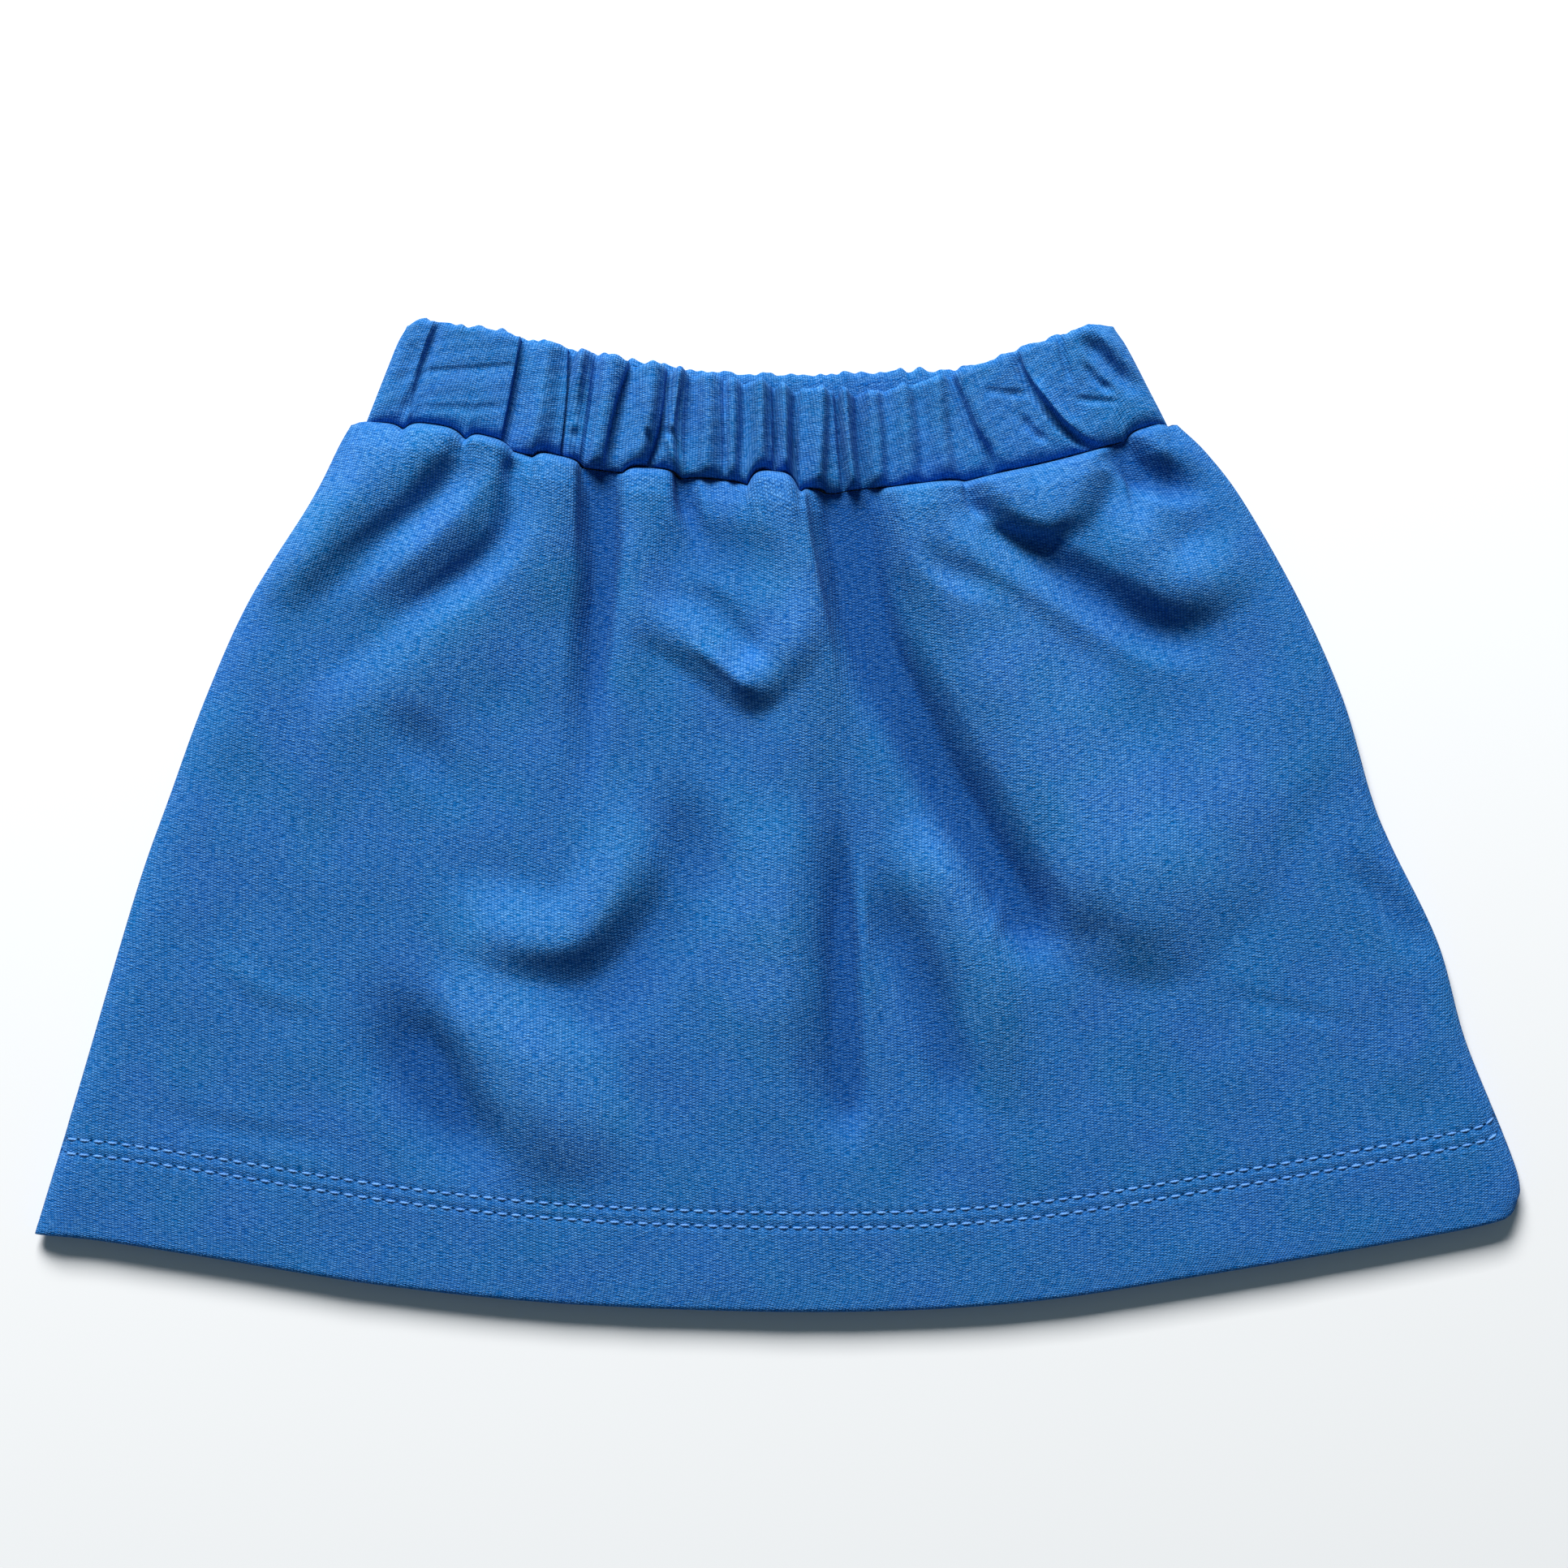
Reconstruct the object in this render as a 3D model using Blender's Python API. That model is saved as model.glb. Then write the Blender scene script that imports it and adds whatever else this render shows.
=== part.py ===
"""A child's pull-on skirt of sweat jersey, lying flat with its front up.

It has a flared front and back panel with a deep turned-up hem, gathered into a waistband whose casing is
shirred by an elastic. Lengths in the tables are millimetres: X runs across the skirt, +Y towards the waist,
and +Z up from the surface that the back lies on.
"""

from collections import namedtuple

import bmesh
import bpy
import numpy as np

MM = 0.001

# Cloth and seams
CLOTH = 1.3  # one layer of sweat jersey
BAND = 3.4  # two layers of cloth with the elastic between them
GAP = 0.3  # space between two pieces that are sewn together or lie on each other
HEM_DEPTH = 27.0  # turned-up cloth, a second layer behind the hem
PANEL_LENGTH = 206.0  # from the waist seam to the hem at the middle
PANEL_WIDTH, BAND_WIDTH = 320.0, 190.0  # at half the panel's length, and at half the waistband's
SIDE_SEAM_HEIGHT = 3.0  # where the front and back panels meet at the folded sides
FRONT_EDGE = 4.9  # height of the front panel's face where the waist seam pulls it down
SEAM_REACH = 5.0  # how far down from the seam the front panel has risen to its full height
BACK_ROLL, BAND_ROLL = 5.0, 5.0  # how far in from its sides the back panel, or the waistband, lies flat
FRONT_ROLL = 11.0  # how far in the front panel's columns stay close together
BAND_SIDE = 0.6  # thickness of each half of the waistband where its rolled end closes
BAND_CREST = 0.4  # how much the waistband's front stands above its own thickness
BAND_EDGE = 0.12  # share of the waistband's depth that its rolled top edge, or its seam, takes
TOP_EDGE_SHARE = 0.3  # thickness of the rolled top edge where it turns, as a share of the band's
SEAM_SHARE = 0.45  # the same where the seam pinches the band

# Where each panel ends, as points that a smooth curve runs through
WAIST_SEAM = ((-107.6, 98.6), (-92.0, 97.0), (-76.0, 94.2), (-50.0, 87.7), (-16.0, 84.0), (18.0, 80.9),
              (46.0, 83.8), (72.0, 89.2), (88.0, 94.2), (101.0, 98.6))
HEM = ((-187.5, -105.7), (-172.0, -107.2), (-147.0, -111.0), (-98.0, -118.8), (-49.0, -123.5), (12.0, -125.3),
       (62.0, -122.9), (111.0, -115.5), (160.0, -107.0), (181.5, -102.6), (186.2, -99.6))
LEFT_SEAM = ((-107.6, 98.6), (-110.6, 93.4), (-118.0, 78.8), (-133.4, 54.2), (-144.4, 29.6), (-153.4, 5.0),
             (-162.0, -19.6), (-176.4, -68.8), (-187.5, -105.7))
RIGHT_SEAM = ((101.0, 98.6), (108.6, 91.3), (118.0, 78.8), (131.9, 54.2), (142.8, 29.6), (150.0, 5.0),
              (155.0, -7.5), (166.8, -32.0), (173.7, -56.5), (183.6, -81.0), (187.5, -93.0), (186.2, -99.6))
FRONT_BAND_TOP = ((-93.4, 125.3), (-73.0, 122.6), (-49.0, 116.8), (-24.0, 112.0), (0.0, 108.2), (20.0, 106.6),
                  (34.0, 108.6), (49.0, 113.0), (62.0, 118.0), (74.5, 122.1), (84.8, 124.8))
BACK_BAND_TOP = ((-93.4, 125.3), (-73.0, 122.7), (-49.0, 117.2), (-24.0, 112.9), (0.0, 111.2), (25.0, 112.0),
                 (47.0, 113.1), (62.0, 118.2), (74.5, 122.2), (84.8, 124.8))
BAND_LOW_LEFT, BAND_LOW_RIGHT = -103.8, 98.8  # the waistband's two ends along the waist seam

# How high the front panel's face lies above the table, from the waist seam down to the hem
Level = namedtuple("Level", "down height roll")  # share of the length, height, width of the rolled side
FRONT_LEVELS = (
    Level(0.00, 5.8, 9.0),
    Level(0.03, 7.6, 10.0),
    Level(0.10, 8.4, 12.0),
    Level(0.25, 7.8, 13.0),
    Level(0.50, 6.6, 11.0),
    Level(0.80, 5.8, 8.0),
    Level(1.00, 5.5, 6.0),
)

# Folds of the front, followed from the first point to the last. Left and right are the widths as seen on that
# walk; start and end are the shares of it that the fold takes to rise and to fade.
Fold = namedtuple("Fold", "name path height left right start end")
FRONT_FOLDS = (
    Fold("shoulder ridge", ((-84, 96), (-98, 86), (-114, 74), (-132, 58)), 6.2, 16, 12, 0.0, 0.25),
    Fold("shoulder hollow", ((-76, 90), (-93, 72), (-114, 56)), -2.4, 8, 8, 0.0, 0.4),
    Fold("second ridge", ((-72, 93), (-79, 77), (-94, 63), (-114, 52)), 5.4, 14, 9, 0.0, 0.4),
    Fold("second hollow", ((-65, 89), (-69, 68), (-85, 54), (-100, 44)), -2.2, 7, 6, 0.0, 0.5),
    Fold("third ridge", ((-60, 92), (-64, 68), (-80, 48), (-110, 28)), 3.8, 20, 10, 0.0, 0.4),
    Fold("left groove", ((-47.5, 92), (-48, 62), (-51, 36), (-51.5, -10)), -5.4, 6.0, 7.0, 0.0, 0.7),
    Fold("left pleat", ((-40, 92), (-41, 60), (-45, 28)), 2.6, 16, 8, 0.0, 0.6),
    Fold("short notch", ((-24, 88), (-22.5, 77), (-18, 66)), -3.6, 5, 4, 0.0, 0.6),
    Fold("dish", ((-32, 66), (-8, 66), (6, 58)), -2.0, 9, 10, 0.3, 0.3),
    Fold("pointed ridge", ((-46, 51), (-24, 47), (-6.5, 32.5), (10, 50)), 4.2, 12, 9, 0.25, 0.2),
    Fold("centre pleat", ((4, 92), (9, 70), (13.5, 50), (17.5, 26), (20, -10), (21.5, -80)),
         4.6, 5.5, 24, 0.0, 0.55),
    Fold("centre hollow", ((13.5, 88), (15, 62), (20, 42), (30, 24)), -4.6, 8, 6, 0.0, 0.6),
    Fold("long ridge", ((24, 76), (32, 52), (49, 33), (65, 10), (73, -12), (90, -33)), 6.2, 34, 20, 0.2, 0.3),
    Fold("rib hollow", ((31, 77), (42, 65), (62, 53), (86, 38)), -2.4, 5.5, 5, 0.1, 0.4),
    Fold("upper rib", ((44, 74), (60, 61), (80, 46), (102, 34)), 2.4, 8, 7, 0.1, 0.5),
    Fold("hanging belly", ((47, 87), (53, 76), (64, 72), (75, 77), (80, 90)), 5.0, 11, 8, 0.1, 0.1),
    Fold("belly hollow", ((50, 68), (65, 63), (82, 64)), -2.4, 7, 6, 0.3, 0.3),
    Fold("right belly", ((88, 95), (92, 75), (101, 57), (114, 56), (122, 68)), 6.6, 18, 14, 0.0, 0.35),
    Fold("right hollow", ((78, 70), (84, 52), (100, 43), (118, 43)), -2.4, 8, 9, 0.3, 0.4),
    Fold("shoulder dent", ((90, 91), (106, 80)), -3.6, 8, 8, 0.1, 0.5),
    Fold("left crescent", ((-76, -18), (-63, -27), (-52, -28), (-41, -19), (-35, 2), (-31, 18)),
         4.6, 16, 10, 0.3, 0.5),
    Fold("low ridge", ((21, -2), (34, -24), (48, -46), (55, -68)), 4.0, 13, 10, 0.2, 0.4),
    Fold("right crescent", ((72, -22), (87, -34), (101, -35), (114, -20), (124, 10)), 3.0, 13, 10, 0.3, 0.5),
    Fold("low left ridge", ((-105, -34), (-100, -66), (-84, -102)), 3.0, 20, 18, 0.35, 0.2),
    Fold("low left hollow", ((-78, -44), (-70, -68), (-58, -94)), -1.6, 14, 14, 0.35, 0.3),
    Fold("side ripple", ((-126, 24), (-102, 27), (-88, 10)), 2.0, 11, 8, 0.4, 0.4),
    Fold("right dent", ((142, -10), (155, -22), (168, -36)), -1.6, 7, 7, 0.4, 0.3),
)

# Gathers of the waistband's front, from its top edge down to the waist seam. Hollows have a negative height.
Gather = namedtuple("Gather", "top low height width")  # x at the top edge, x at the seam, height, half width
FRONT_GATHERS = (
    Gather(-83.0, -92.0, 0.9, 4.0),
    Gather(-63.0, -70.0, -1.5, 2.4),
    Gather(-59.5, -66.0, 0.8, 3.0),
    Gather(-51.0, -54.0, -1.5, 2.2),
    Gather(-48.5, -51.5, 1.2, 2.2),
    Gather(-44.0, -47.0, -0.9, 2.0),
    Gather(-39.5, -45.5, 1.3, 2.6),
    Gather(-34.0, -41.0, -1.2, 2.4),
    Gather(-30.5, -33.0, 1.3, 3.2),
    Gather(-27.5, -29.0, -1.4, 2.0),
    Gather(-24.5, -25.5, 1.3, 2.4),
    Gather(-20.5, -22.0, -0.9, 2.6),
    Gather(-15.5, -15.6, 1.2, 3.4),
    Gather(-11.0, -12.0, -1.1, 2.2),
    Gather(-6.5, -6.0, 1.1, 3.8),
    Gather(-1.2, -0.6, -1.5, 1.8),
    Gather(2.0, 1.2, 1.4, 2.2),
    Gather(5.5, 4.4, -1.0, 2.0),
    Gather(10.5, 8.5, 1.5, 2.4),
    Gather(13.8, 14.4, -1.6, 2.2),
    Gather(16.8, 17.6, 1.6, 2.2),
    Gather(19.6, 20.6, -1.5, 1.9),
    Gather(24.0, 26.0, 1.2, 4.0),
    Gather(31.0, 35.0, -0.8, 2.6),
    Gather(36.5, 41.0, 0.9, 3.0),
    Gather(44.0, 54.0, -1.5, 2.3),
    Gather(49.0, 60.0, 0.9, 3.2),
    Gather(59.0, 78.0, -1.6, 2.4),
    Gather(63.5, 84.0, 1.2, 3.4),
    Gather(79.0, 93.0, -1.5, 3.0),
)
BACK_GATHERS = 17  # of the back's own, along the waistband and in the panel under it
BACK_LIFT = 0.9  # how far a gather's hollow lifts the back off the table
BACK_SHIRR = 1.1  # room above the back panel for its gathers, near the waist
CALM_HEM = 0.85  # share of each fold's height that the stiff hem takes away

# How finely each wall is made
PANEL_COLUMNS, PANEL_ROWS = 60, 29
BACK_COLUMNS, BACK_ROWS = 30, 10
BAND_COLUMNS, BACK_BAND_COLUMNS = 108, 50
BAND_ROWS = (0.0, 0.04, BAND_EDGE, 0.5, 1 - BAND_EDGE, 1.0)
ROLL_STEPS = 4
BLEND = 6  # how sharply the nearest point of a fold's path counts

BLUE = (0.026, 0.141, 0.413, 1.0)


def smooth_path(points, share):
    """Places at these shares of the length of a smooth curve through the points."""
    p = np.array(points, float)
    p = np.vstack([2 * p[0] - p[1], p, 2 * p[-1] - p[-2]])
    t = np.linspace(0, 1, 12, endpoint=False)[:, None]
    runs = [
        b + 0.5 * ((c - a) * t + (2 * a - 5 * b + 4 * c - d) * t**2 + (3 * b - a - 3 * c + d) * t**3)
        for a, b, c, d in zip(p, p[1:], p[2:], p[3:])
    ]
    line = np.vstack([*runs, p[-2:-1]])
    length = np.concatenate([[0], np.cumsum(np.hypot(*np.diff(line, axis=0).T))])
    reach = np.asarray(share) * length[-1]
    return np.stack([np.interp(reach, length, line[:, k]) for k in (0, 1)], -1)


def height_at(points, x):
    """The y of a smooth curve through the points, at these x."""
    line = smooth_path(points, np.linspace(0, 1, 240))
    return np.interp(x, line[:, 0], line[:, 1])


def ease(t):
    t = np.clip(t, 0, 1)
    return t * t * (3 - 2 * t)


def fold_height(x, y, fold):
    """What one fold adds at these places: a soft hump or hollow, blended from the points of its path."""
    reach = np.hypot(*np.diff(np.array(fold.path), axis=0).T).sum()
    steps = max(8, int(reach / (0.3 * min(fold.left, fold.right))))
    share = np.linspace(0, 1, steps)
    line = smooth_path(fold.path, share)
    step = np.gradient(line, axis=0)
    spacing = np.hypot(*step.T)
    away = np.stack([x.ravel(), y.ravel()], -1)[:, None, :] - line
    distance = np.hypot(away[..., 0], away[..., 1]) + 1e-6
    turn = (step[:, 0] * away[..., 1] - step[:, 1] * away[..., 0]) / (distance * spacing)
    width = fold.right + (fold.left - fold.right) * ease(0.5 + turn)
    rise = ease(share / fold.start) if fold.start else 1.0
    fade = ease((1 - share) / fold.end) if fold.end else 1.0
    hump = np.clip(1 - (distance / width) ** 2, 0, 1) ** 2 * rise * fade
    straight = np.arange(-steps, steps + 1) * spacing.mean() / max(fold.left, fold.right)
    whole = (np.clip(1 - straight**2, 0, 1) ** (2 * BLEND)).sum() ** (1 / BLEND)
    return (fold.height * (hump**BLEND).sum(1) ** (1 / BLEND) / whole).reshape(x.shape)


def soft_floor(z, floor, softness=0.5):
    """The height, kept above the floor with a soft change."""
    return 0.5 * (z + floor + np.sqrt((z - floor) ** 2 + softness**2))


def panel_place(across, down):
    """The plan of a panel: its four edges, and the places between them as shares across and down it."""
    top, hem = smooth_path(WAIST_SEAM, across), smooth_path(HEM, across)
    left, right = smooth_path(LEFT_SEAM, down), smooth_path(RIGHT_SEAM, down)
    a, d = across[..., None], down[..., None]
    corners = (1 - d) * ((1 - a) * np.array(WAIST_SEAM[0]) + a * np.array(WAIST_SEAM[-1]))
    corners = corners + d * ((1 - a) * np.array(HEM[0]) + a * np.array(HEM[-1]))
    place = (1 - d) * top + d * hem + (1 - a) * left + a * right - corners
    return place[..., 0], place[..., 1]


def level(down, column):
    """One column of the levels' table, at these shares of the length."""
    values = [getattr(row, column) for row in FRONT_LEVELS]
    return np.interp(down, [row.down for row in FRONT_LEVELS], values)


def in_hem(down):
    """1 in the turned-up hem, 0 above it."""
    return ease(((down - 1) * PANEL_LENGTH + HEM_DEPTH) / 1.0 + 0.5)


def lowest_front(down):
    """The lowest that the front's face lies: on the back panel, which is thick at its hem and gathered at the top."""
    shirred = 1 - ease((down - 0.28) / 0.12)
    return 2 * CLOTH + GAP + BACK_SHIRR * shirred + 2 * CLOTH * in_hem(down)


def front_face(x, y, down):
    """Height of the front panel's face away from its rolled sides."""
    calm = 1 - CALM_HEM * ease((down - 0.80) / 0.08)
    folds = sum(fold_height(x, y, fold) for fold in FRONT_FOLDS) * calm
    z = soft_floor(level(down, "height") + folds, lowest_front(down))
    edge = FRONT_EDGE + 0.3 * np.clip(folds, -2, 4)
    rise = np.clip(down * PANEL_LENGTH / SEAM_REACH, 0, 1)
    return edge + (z - edge) * np.sqrt(1 - (1 - rise) ** 2)


def back_fold(number):
    """One of the back's gathers: a short hollow that fans out from the waist seam, uneven in place and reach."""
    share = (number + 0.5 + 0.28 * np.sin(2.3 * number)) / BACK_GATHERS
    x = BAND_LOW_LEFT + share * (BAND_LOW_RIGHT - BAND_LOW_LEFT)
    reach = 16 + 24 * (1 + np.sin(1.7 * number + 0.6)) / 2
    fan = (share - 0.5) * 0.9
    path = ((x, height_at(WAIST_SEAM, x) + 4), (x + fan * reach, height_at(WAIST_SEAM, x) - reach))
    return Fold(f"back gather {number}", path, BACK_LIFT, 3.2, 2.6, 0.0, 0.6)


def band_fold(number):
    """The same for the back of the waistband, from its top edge to the seam."""
    share = (number + 0.5 + 0.3 * np.sin(1.9 * number)) / BACK_GATHERS
    top = FRONT_BAND_TOP[0][0] + share * (FRONT_BAND_TOP[-1][0] - FRONT_BAND_TOP[0][0])
    low = BAND_LOW_LEFT + share * (BAND_LOW_RIGHT - BAND_LOW_LEFT)
    path = ((top, height_at(BACK_BAND_TOP, top) + 3), (low, height_at(WAIST_SEAM, low) - 3))
    return Fold(f"back band gather {number}", path, BACK_LIFT, 2.6, 2.2, 0.0, 0.0)


BACK_FOLDS = [back_fold(number) for number in range(BACK_GATHERS)]
BACK_BAND_FOLDS = [band_fold(number) for number in range(BACK_GATHERS)]


def gather_fold(gather):
    """A row of the gathers' table as a fold that runs across the waistband."""
    top = (gather.top, height_at(FRONT_BAND_TOP, gather.top) + 2)
    low = (gather.low, height_at(WAIST_SEAM, gather.low) - 2)
    return Fold("gather", (top, low), gather.height, gather.width, gather.width, 0.0, 0.0)


def rolled(inset, roll):
    """How upright and how level a wall lies this far in from a rolled side: its cosine and sine."""
    cosine = np.clip(1 - inset / roll, 0, 1)
    return cosine, np.sqrt(1 - cosine**2)


def across_shares(count, inset, width):
    """Columns of a wall: close together on the rolled sides, even between them."""
    turn = inset / width * (1 - np.cos(np.linspace(0, np.pi / 2, ROLL_STEPS + 1)))
    middle = np.linspace(turn[-1], 1 - turn[-1], count)
    return np.concatenate([turn[:-1], middle, 1 - turn[-2::-1]])


def slope_thickness(x, y, height):
    """How much thicker a wall is straight down than across, where its face slopes."""
    step = 0.4
    run = (height(x + step, y) - height(x - step, y)) / (2 * step)
    rise = (height(x, y + step) - height(x, y - step)) / (2 * step)
    return np.clip(np.sqrt(1 + run**2 + rise**2), 1.0, 1.5)


def down_shares(count, near_seam):
    """Rows of a panel: closer together towards the waist, with more at the seam and at the hem's two edges."""
    cut_edge = 1 - HEM_DEPTH / PANEL_LENGTH
    more = (*near_seam, cut_edge - 0.003, cut_edge + 0.003, 0.965, 1 - 1.0 / PANEL_LENGTH)
    return np.unique(np.concatenate([np.linspace(0, 1, count) ** 1.25, more]))


def front_panel_wall():
    down = down_shares(PANEL_ROWS, (0.012, 0.03))
    across, down = np.meshgrid(across_shares(PANEL_COLUMNS, FRONT_ROLL, PANEL_WIDTH), down)
    x, y = panel_place(across, down)
    width = x[:, -1:] - x[:, :1]
    inset = np.minimum(across, 1 - across) * width
    upright, lying = rolled(inset, level(down, "roll"))
    side = np.where(across < 0.5, 1.0, -1.0)
    seam = SIDE_SEAM_HEIGHT + GAP / 2
    face = front_face(x, y, down)
    outer = np.stack([x, y, seam + (face - seam) * lying], -1)
    wall = CLOTH * (1 + in_hem(down))
    steep = slope_thickness(x, y, lambda px, py: front_face(px, py, down))
    inner = outer + np.stack([side * upright * wall, 0 * x, -lying * wall * steep], -1)
    rest = lowest_front(down) - wall
    inner[..., 2] = np.maximum(inner[..., 2], seam + (rest - seam) * lying)
    return round_hem(outer, inner)


def back_panel_wall():
    down = down_shares(BACK_ROWS, (0.03, 0.08))
    across, down = np.meshgrid(across_shares(BACK_COLUMNS, BACK_ROLL, PANEL_WIDTH), down)
    x, y = panel_place(across, down)
    width = x[:, -1:] - x[:, :1]
    upright, lying = rolled(np.minimum(across, 1 - across) * width, BACK_ROLL)
    side = np.where(across < 0.5, 1.0, -1.0)
    seam = SIDE_SEAM_HEIGHT - GAP / 2
    lift = sum(fold_height(x, y, fold) for fold in BACK_FOLDS)
    outer = np.stack([x, y, seam + (lift - seam) * lying], -1)
    wall = CLOTH * (1 + in_hem(down))
    inner = outer + np.stack([side * upright * wall, 0 * x, lying * wall], -1)
    return round_hem(outer, inner)


def round_hem(outer, inner):
    """Draws the last row of a wall in to a blunt fold."""
    blunt = 0.4
    middle = (outer[-1] + inner[-1]) / 2
    outer[-1] = middle + (outer[-1] - middle) * blunt
    inner[-1] = middle + (inner[-1] - middle) * blunt
    return outer, inner


def band_place(across, down, top_edge):
    """The plan of the waistband: straight lines from its top edge down to the waist seam."""
    ends = np.array(FRONT_BAND_TOP[0]), np.array(FRONT_BAND_TOP[-1])
    top = ends[0][0] + across * (ends[1][0] - ends[0][0])
    low = BAND_LOW_LEFT + across * (BAND_LOW_RIGHT - BAND_LOW_LEFT)
    x = (1 - down) * top + down * low
    y = (1 - down) * height_at(top_edge, top) + down * (height_at(WAIST_SEAM, low) + GAP)
    return x, y


def band_wall(columns, top_edge, folds, is_front):
    """One half of the waistband: flat against the other half, round at its ends, with gathers on its face."""
    across, down = np.meshgrid(across_shares(columns, BAND_ROLL, BAND_WIDTH), BAND_ROWS)
    x, y = band_place(across, down, top_edge)
    width = x[:, -1:] - x[:, :1]
    _, lying = rolled(np.minimum(across, 1 - across) * width, BAND_ROLL)
    gathers = sum(fold_height(x, y, fold) for fold in folds)
    _, at_top = rolled(down, BAND_EDGE)
    _, at_seam = rolled(1 - down, BAND_EDGE)
    top_share = TOP_EDGE_SHARE + (1 - TOP_EDGE_SHARE) * at_top
    seam_share = SEAM_SHARE + (1 - SEAM_SHARE) * at_seam
    if is_front:
        inside = BAND + GAP
        face = BAND * top_share * seam_share + gathers * np.minimum(top_share, seam_share) + BAND_CREST
        height = inside + BAND_SIDE + (face - BAND_SIDE) * lying
    else:
        inside = BAND
        face = np.clip(gathers, 0, BACK_LIFT) + BAND_SIDE * (1 - top_share)
        height = (inside - BAND_SIDE) * (1 - lying) + face * lying
    outer = np.stack([x, y, height], -1)
    inner = np.stack([x, y, np.full_like(x, inside)], -1)
    return outer, inner


def cloth_material(name, colour):
    """A matt cotton finish."""
    material = bpy.data.materials.new(name)
    material.use_nodes = True
    shader = material.node_tree.nodes["Principled BSDF"]
    shader.inputs["Base Color"].default_value = colour
    shader.inputs["Roughness"].default_value = 0.9
    shader.inputs["Metallic"].default_value = 0.0
    return material


def loft(name, wall, material, collection):
    """Joins a wall's outer and inner rows of points into one closed solid, with its rim all round."""
    outer, inner = wall
    rows, columns = outer.shape[:2]
    mesh = bmesh.new()
    skins = [[[mesh.verts.new(point * MM) for point in row] for row in skin] for skin in (outer, inner)]
    for skin in skins:
        for i in range(rows - 1):
            for j in range(columns - 1):
                mesh.faces.new((skin[i][j], skin[i][j + 1], skin[i + 1][j + 1], skin[i + 1][j]))
    rim = [(0, j) for j in range(columns)] + [(i, columns - 1) for i in range(1, rows)]
    rim += [(rows - 1, j) for j in range(columns - 2, -1, -1)] + [(i, 0) for i in range(rows - 2, 0, -1)]
    for (i, j), (k, m) in zip(rim, rim[1:] + rim[:1]):
        mesh.faces.new((skins[0][i][j], skins[0][k][m], skins[1][k][m], skins[1][i][j]))
    bmesh.ops.recalc_face_normals(mesh, faces=mesh.faces)
    data = bpy.data.meshes.new(name)
    mesh.to_mesh(data)
    mesh.free()
    data.materials.append(material)
    data.shade_smooth()
    collection.objects.link(bpy.data.objects.new(name, data))


def main():
    for obj in list(bpy.data.objects):
        bpy.data.objects.remove(obj)
    collection = bpy.data.collections.new("skirt")
    bpy.context.scene.collection.children.link(collection)
    panel_cloth = cloth_material("panel jersey", BLUE)
    band_cloth = cloth_material("waistband jersey", BLUE)
    front_gathers = [gather_fold(gather) for gather in FRONT_GATHERS]
    loft("front_panel", front_panel_wall(), panel_cloth, collection)
    loft("back_panel", back_panel_wall(), panel_cloth, collection)
    front_band = band_wall(BAND_COLUMNS, FRONT_BAND_TOP, front_gathers, is_front=True)
    loft("waistband_front", front_band, band_cloth, collection)
    back_band = band_wall(BACK_BAND_COLUMNS, BACK_BAND_TOP, BACK_BAND_FOLDS, is_front=False)
    loft("waistband_back", back_band, band_cloth, collection)


main()
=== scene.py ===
"""A child's pull-on skirt of blue sweat jersey, laid flat with its front up, as a lesson in cells.

Lengths of the cloth are in millimetres, as in its cutting pattern: X runs across the skirt, +Y towards the
waist and +Z up from the table. They become metres only where a mesh is made.
"""

# %% [markdown]
# # Load the frame
# The solids of the skirt are already built. They say where every piece of cloth lies, so the
# first step loads them and keeps the size of their box. Every piece below is made in place around them.

# %% Frame
import math
from collections import namedtuple

import bpy
import numpy as np
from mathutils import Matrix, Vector


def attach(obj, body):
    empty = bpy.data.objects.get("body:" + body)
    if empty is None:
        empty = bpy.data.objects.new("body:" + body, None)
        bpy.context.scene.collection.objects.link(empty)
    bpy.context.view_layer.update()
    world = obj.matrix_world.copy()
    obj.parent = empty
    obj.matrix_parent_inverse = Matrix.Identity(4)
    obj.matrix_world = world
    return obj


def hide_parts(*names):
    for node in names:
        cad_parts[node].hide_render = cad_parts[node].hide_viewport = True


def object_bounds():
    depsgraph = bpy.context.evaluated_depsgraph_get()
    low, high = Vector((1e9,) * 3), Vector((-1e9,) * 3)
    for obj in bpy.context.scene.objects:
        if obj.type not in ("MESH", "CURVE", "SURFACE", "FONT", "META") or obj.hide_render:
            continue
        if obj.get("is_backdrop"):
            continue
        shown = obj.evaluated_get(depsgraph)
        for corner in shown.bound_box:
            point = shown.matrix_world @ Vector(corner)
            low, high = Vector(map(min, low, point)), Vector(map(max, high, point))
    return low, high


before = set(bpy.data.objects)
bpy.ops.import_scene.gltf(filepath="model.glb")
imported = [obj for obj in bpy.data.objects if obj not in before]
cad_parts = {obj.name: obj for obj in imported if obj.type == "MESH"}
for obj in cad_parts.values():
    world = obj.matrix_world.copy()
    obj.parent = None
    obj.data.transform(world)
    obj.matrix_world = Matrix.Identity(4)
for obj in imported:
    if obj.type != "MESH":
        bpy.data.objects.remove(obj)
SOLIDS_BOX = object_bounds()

MM = 0.001
print("pieces to dress:", ", ".join(sorted(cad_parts)))

# %% [markdown]
# # The camera
# The skirt was photographed from straight above, from about arm's length. A perspective camera at that
# height gives the small growth of the high folds against the low edges, which a parallel view would lose.

# %% Camera
VIEW_WIDTH = 396.1 * MM  # what the picture spans, at the height of the skirt's edge
VIEW_CENTRE = (1.7 * MM, 7.9 * MM)
CAMERA_HEIGHT = 900.0 * MM
EDGE_HEIGHT = 3.0 * MM

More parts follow.
